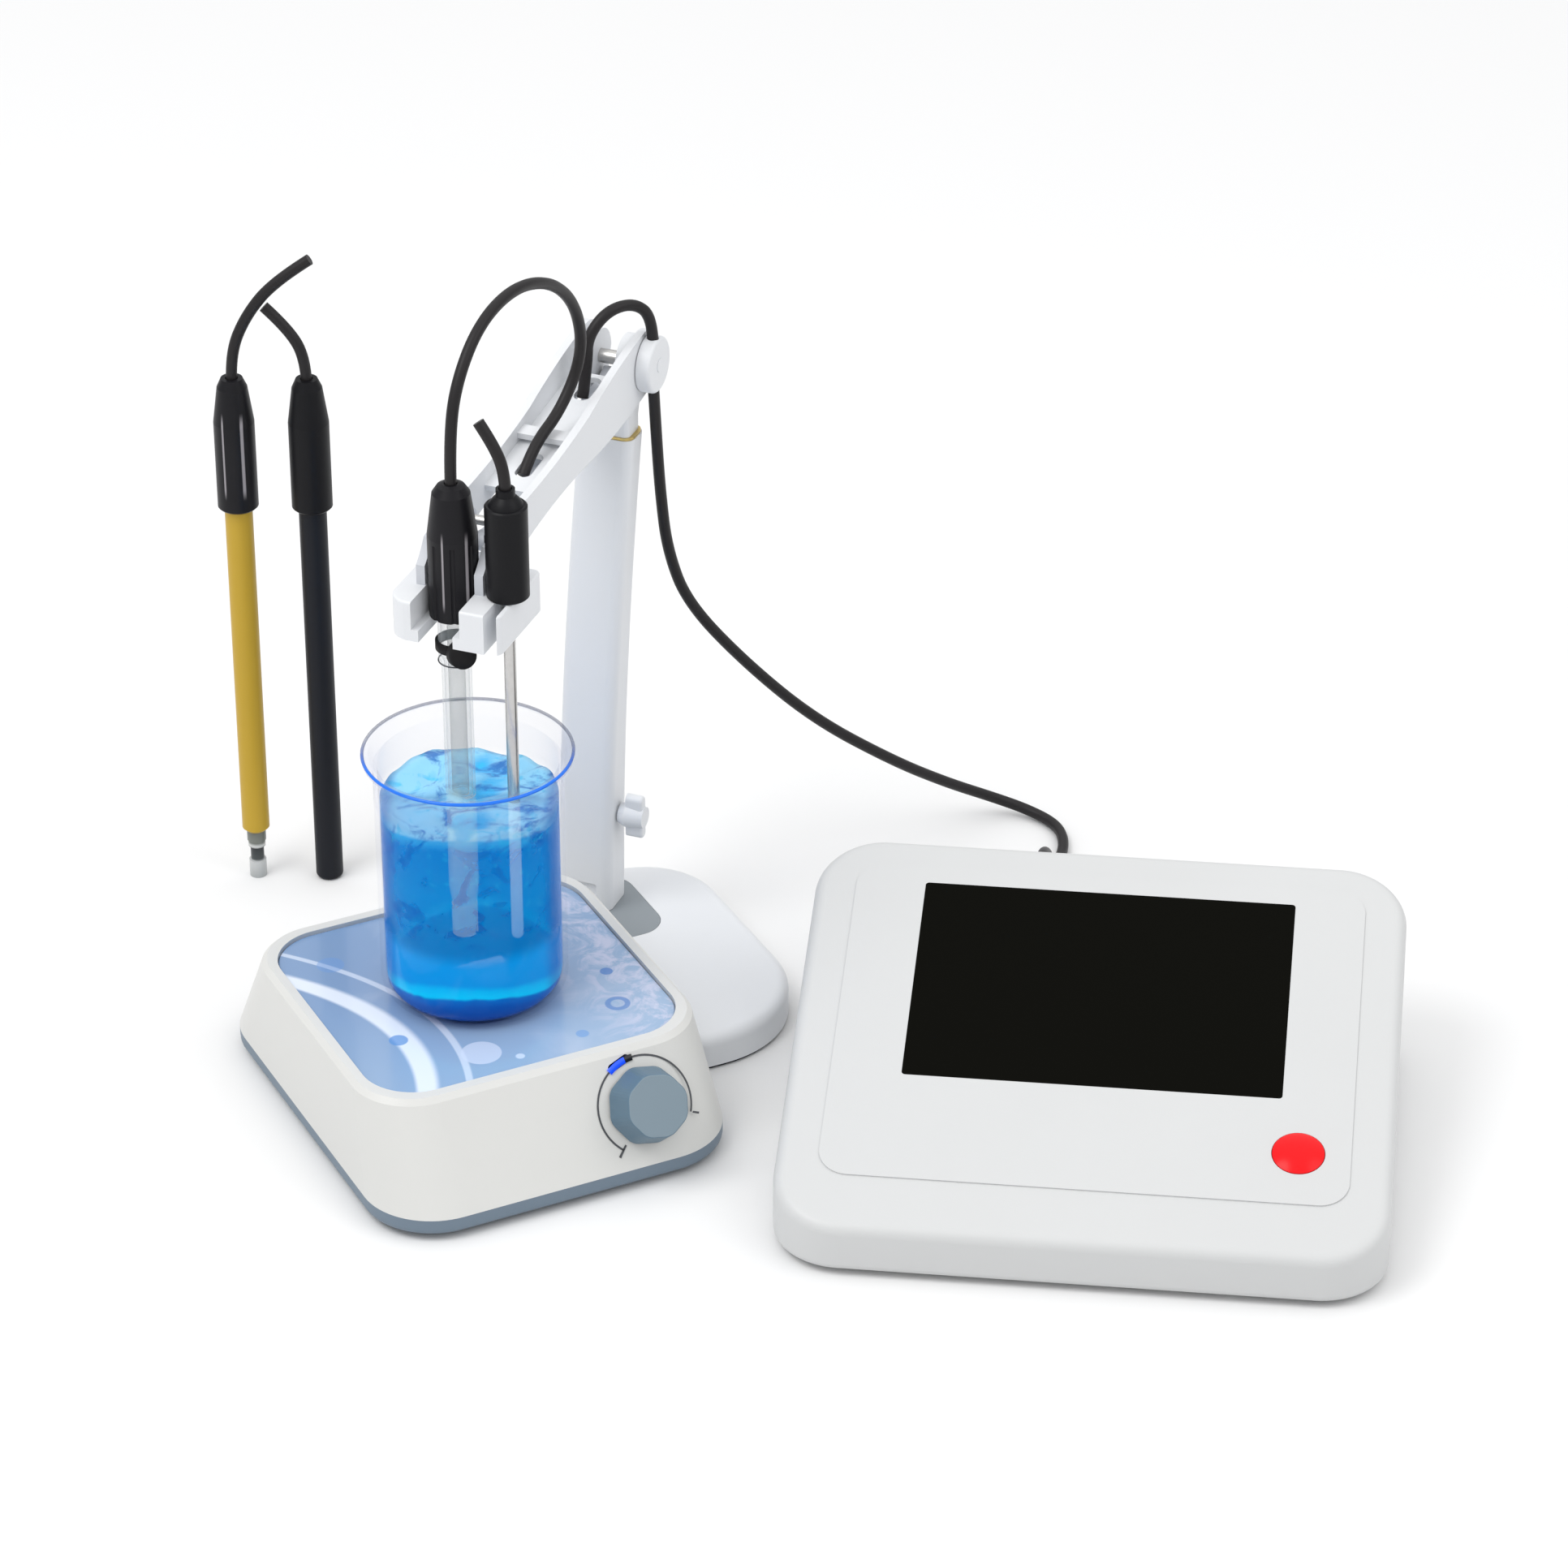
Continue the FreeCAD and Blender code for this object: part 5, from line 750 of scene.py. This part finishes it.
def round_the_knob(name, profile, start, sweep, steps):
    """A profile swept about the knob's axis, from a start angle and through a sweep in degrees."""
    shape = spun(profile, steps, math.radians(sweep))
    bmesh.ops.rotate(shape, verts=shape.verts, matrix=Matrix.Rotation(math.radians(start), 3, "Z"))
    bmesh.ops.transform(shape, matrix=KNOB_FRAME, verts=shape.verts)
    return new_piece(name, shape)


def printed(name, inner, outer, start, sweep, steps):
    """A thin print between two distances from the dial's own radius."""
    profile = [(DIAL_RADIUS + inner, PRINT_LIFT), (DIAL_RADIUS + outer, PRINT_LIFT)]
    return round_the_knob(name, profile, start, sweep, steps)


ink = Finish("dial_ink", Roughness=0.5)
wear = ink.noise(ink.place(), 700, 2)
ink.set(Base_Color=ink.mix(wear, photo_colour(60, 62, 66), photo_colour(84, 86, 90)))
dial = printed("dial_arc", -0.0004, 0.0004, start=-22, sweep=DIAL_SWEEP, steps=64)
low_tick = printed("dial_low_tick", -0.0022, 0.0034, start=228.5, sweep=2.6, steps=2)
high_tick = printed("dial_high_tick", 0.0008, 0.0036, start=-23, sweep=2.2, steps=2)
dress(ink, dial, low_tick, high_tick)
print("dial of", DIAL_SWEEP, "degrees")

# %% Light the lamp on the dial
LAMP_START = 93
LAMP_SWEEP = 33
DARK_SWEEP = 10
LAMP_INSIDE = DIAL_RADIUS - 0.0013
LAMP_OUTSIDE = DIAL_RADIUS + 0.0013
LAMP_FOOT = 0.0001
LAMP_FACE = 0.0006
lamp_section = [(LAMP_INSIDE, LAMP_FOOT), (LAMP_INSIDE, LAMP_FACE), (LAMP_OUTSIDE, LAMP_FACE),
                (LAMP_OUTSIDE, LAMP_FOOT)]
speed_light = round_the_knob("speed_light", lamp_section, LAMP_START, LAMP_SWEEP, 24)
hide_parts("speed_lamp")
lamp_black = Finish("lamp_end", Base_Color=photo_colour(14, 15, 20), Roughness=0.3)
dress(lamp_blue, speed_light)
speed_light.data.materials.append(lamp_black.material)
for face in speed_light.data.polygons:
    offset = KNOB_FRAME.inverted() @ face.center
    if math.degrees(math.atan2(offset.y, offset.x)) < LAMP_START + DARK_SWEEP:
        face.material_index = 1
print("lamp of", LAMP_SWEEP, "degrees")

# %% [markdown]
# ## The printed plate
# The plate under the beaker is a sheet of tempered plastic with a water motif printed on its back.
# An image would be sharp at one size alone, so sums draw it: soft clouds, slanting bands of light,
# rings like drops on a pond and a few bubbles.

# %% Print the plate
STIRRER_TURN = math.radians(33)
EDGE_SOFTNESS = 0.0007
print_finish = Finish("plate_print", Roughness=0.22, Coat_Weight=0.35, Coat_Roughness=0.06)
sheet = print_finish.place(tuple(BEAKER), STIRRER_TURN)
along, beyond, _ = print_finish.axes(sheet)
haze = print_finish.noise(sheet, 16, 4, 0.55, 0.8)
sparkle = print_finish.noise(sheet, 55, 4, 0.65, 2.0)
fade = print_finish.step(beyond - along * 0.6, -0.09, 0.09)
tone = print_finish.mix(fade, photo_colour(150, 176, 205), photo_colour(122, 152, 190))
tone = print_finish.mix(print_finish.step(haze, 0.48, 0.75) * 0.55, tone, photo_colour(184, 198, 218))
edge_cloud = print_finish.step(along, 0.022, 0.06) * print_finish.step(sparkle, 0.42, 0.66)
tone = print_finish.mix(edge_cloud * 0.7, tone, photo_colour(208, 208, 226))


def band(start, width, slope, bow):
    """A bowed band of light across the sheet, soft on one side."""
    place = along + beyond * slope + beyond * beyond * bow - start
    return print_finish.step(place, 0, width * 0.2) * (1 - print_finish.step(place, width * 0.7, width))


def disc(distance, radius):
    """1 inside a radius and 0 outside it."""
    return 1 - print_finish.step(distance, radius - EDGE_SOFTNESS, radius)


def drop(x, y, radius, hollow):
    """A disc, or a ring where it has a hollow, at a place on the sheet."""
    distance = ((along - x) ** 2 + (beyond - y) ** 2) ** 0.5
    return disc(distance, radius) - disc(distance, hollow) if hollow else disc(distance, radius)


tone = print_finish.mix(band(-0.052, 0.012, 0.35, 6.0) * 0.85, tone, photo_colour(236, 242, 250))
tone = print_finish.mix(band(-0.031, 0.004, 0.30, 5.0) * 0.6, tone, photo_colour(224, 234, 248))
# Each drop has its place along and beyond, radius, hollow, strength and colour.
DROPS = [
    (-0.018, -0.047, 0.0085, 0.0, 0.7, (206, 218, 238)),
    (-0.044, -0.024, 0.0042, 0.0, 0.8, (92, 146, 208)),
    (0.046, -0.038, 0.0055, 0.0032, 0.75, (70, 124, 190)),
    (0.052, -0.014, 0.0030, 0.0, 0.85, (62, 120, 190)),
    (0.024, -0.052, 0.0030, 0.0, 0.7, (100, 152, 210)),
    (0.047, 0.036, 0.0065, 0.0045, 0.6, (222, 230, 244)),
    (-0.047, 0.040, 0.0060, 0.0, 0.5, (104, 150, 208)),
    (-0.005, -0.056, 0.0022, 0.0, 0.7, (214, 226, 244))]
for x, y, radius, hollow, strength, colour in DROPS:
    tone = print_finish.mix(drop(x, y, radius, hollow) * strength, tone, photo_colour(*colour))
print_finish.set(Base_Color=tone)
dress(print_finish, "stirrer_top_plate")
print("a print with", len(DROPS), "drops")

# %% [markdown]
# ## Small parts of the electrodes
# The glass electrode is refilled through a hole in its neck, shut by a rubber stopper on a strap.
# Its cap and the yellow one's have two thin upright painted highlights, glints laid into their colour
# rather than caught from the lamps. The yellow one's tip has a dark band between pale ones.

# %% Strap the filler stopper
STOPPER_HEIGHT = 0.2085
STOPPER_OFFSET = Vector((0.0040, -0.0085, STOPPER_HEIGHT - 0.0006))
STOPPER_TURN = CAMERA_LEFT + 18
STOPPER_TILT = 82
STRAP = [(0.0071, -0.0022), (0.0082, -0.0018), (0.0082, 0.0018), (0.0071, 0.0022)]
shape = spun(STRAP, 48, closed=True)
bmesh.ops.translate(shape, verts=shape.verts, vec=GLASS_ELECTRODE + Vector((0, 0, STOPPER_HEIGHT)))
head = bmesh.ops.create_cone(shape, cap_ends=True, segments=40, radius1=0.0060, radius2=0.0052,
                             depth=0.0046)
turn = Matrix.Rotation(math.radians(STOPPER_TURN), 4, "Z")
tilt = Matrix.Rotation(math.radians(STOPPER_TILT), 4, "X")
head_place = Matrix.Translation(GLASS_ELECTRODE + STOPPER_OFFSET)
bmesh.ops.transform(shape, matrix=head_place @ turn @ tilt, verts=head["verts"])
stopper = new_piece("filler_stopper", shape, "holder")
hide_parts("ph_filler_plug")
dress(rubber, stopper)
neck_line = ring("neck_line", 0.0071, 0.0003, 0.2012, GLASS_ELECTRODE, "holder")
dress(ink, neck_line)
print("stopper at", round(1000 * STOPPER_HEIGHT, 1), "mm")


# %% Paint highlights on the caps
def painted_glint_cap(name, centre, bottom, top, lines):
    """Black plastic with thin upright painted highlights at given distances across, on the set's front.
    """
    finish = Finish(name, Specular_IOR_Level=0.18)
    where = finish.place(tuple(centre), FRONT_TURN)
    across, away, height = finish.axes(where)
    pores = finish.noise(where, PORE_SCALE, 2, 0.7)
    flow = finish.noise(where, FLOW_SCALE, 4, 0.6)
    # Painted highlight: thin upright glints laid into the base colour as pale lines on the black.
    painted_glint = sum(1 - finish.step(abs(across - x), width * 0.5, width) for x, width in lines)
    painted_glint = painted_glint * finish.step(height, bottom, bottom + 0.006)
    painted_glint = painted_glint * (1 - finish.step(height, top - 0.006, top))
    painted_glint = painted_glint * (1 - finish.step(away, -0.003, 0))
    black = finish.mix(flow, photo_colour(18, 18, 21), photo_colour(30, 29, 33))
    finish.set(Base_Color=finish.mix(painted_glint, black, photo_colour(150, 146, 150)))
    finish.set(Roughness=flow * 0.1 + 0.34, Normal=finish.bump(pores, FINE_GRAIN, PORE_STRENGTH))
    return finish


glass_cap = painted_glint_cap("ph_cap_black", GLASS_ELECTRODE, 0.226, 0.262, ((-0.0036, 0.0005), (0.0058, 0.0007)))
spare_cap = painted_glint_cap("yellow_cap_black", YELLOW_ELECTRODE, 0.187, 0.228,
                    ((-0.0042, 0.0005), (0.0038, 0.0008)))
dress(glass_cap, "ph_cap")
dress(spare_cap, "yellow_cap")
print("two caps with two glints each")

# %% Band the yellow electrode's tip
TIP_LENGTH = 0.024
tip = Finish("banded_tip", Roughness=0.3)
height = tip.axes(tip.place())[2]
tip.set(Base_Color=tip.ramp(height / TIP_LENGTH, [
    (0.0, photo_colour(168, 172, 172)),
    (0.33, photo_colour(196, 198, 198)),
    (0.37, photo_colour(60, 66, 68)),
    (0.60, photo_colour(38, 44, 48)),
    (0.66, photo_colour(210, 212, 210)),
    (0.72, photo_colour(120, 124, 118)),
    (1.0, photo_colour(104, 108, 100))]))
dress(tip, "yellow_tip")
print("tip of", round(1000 * TIP_LENGTH), "mm")
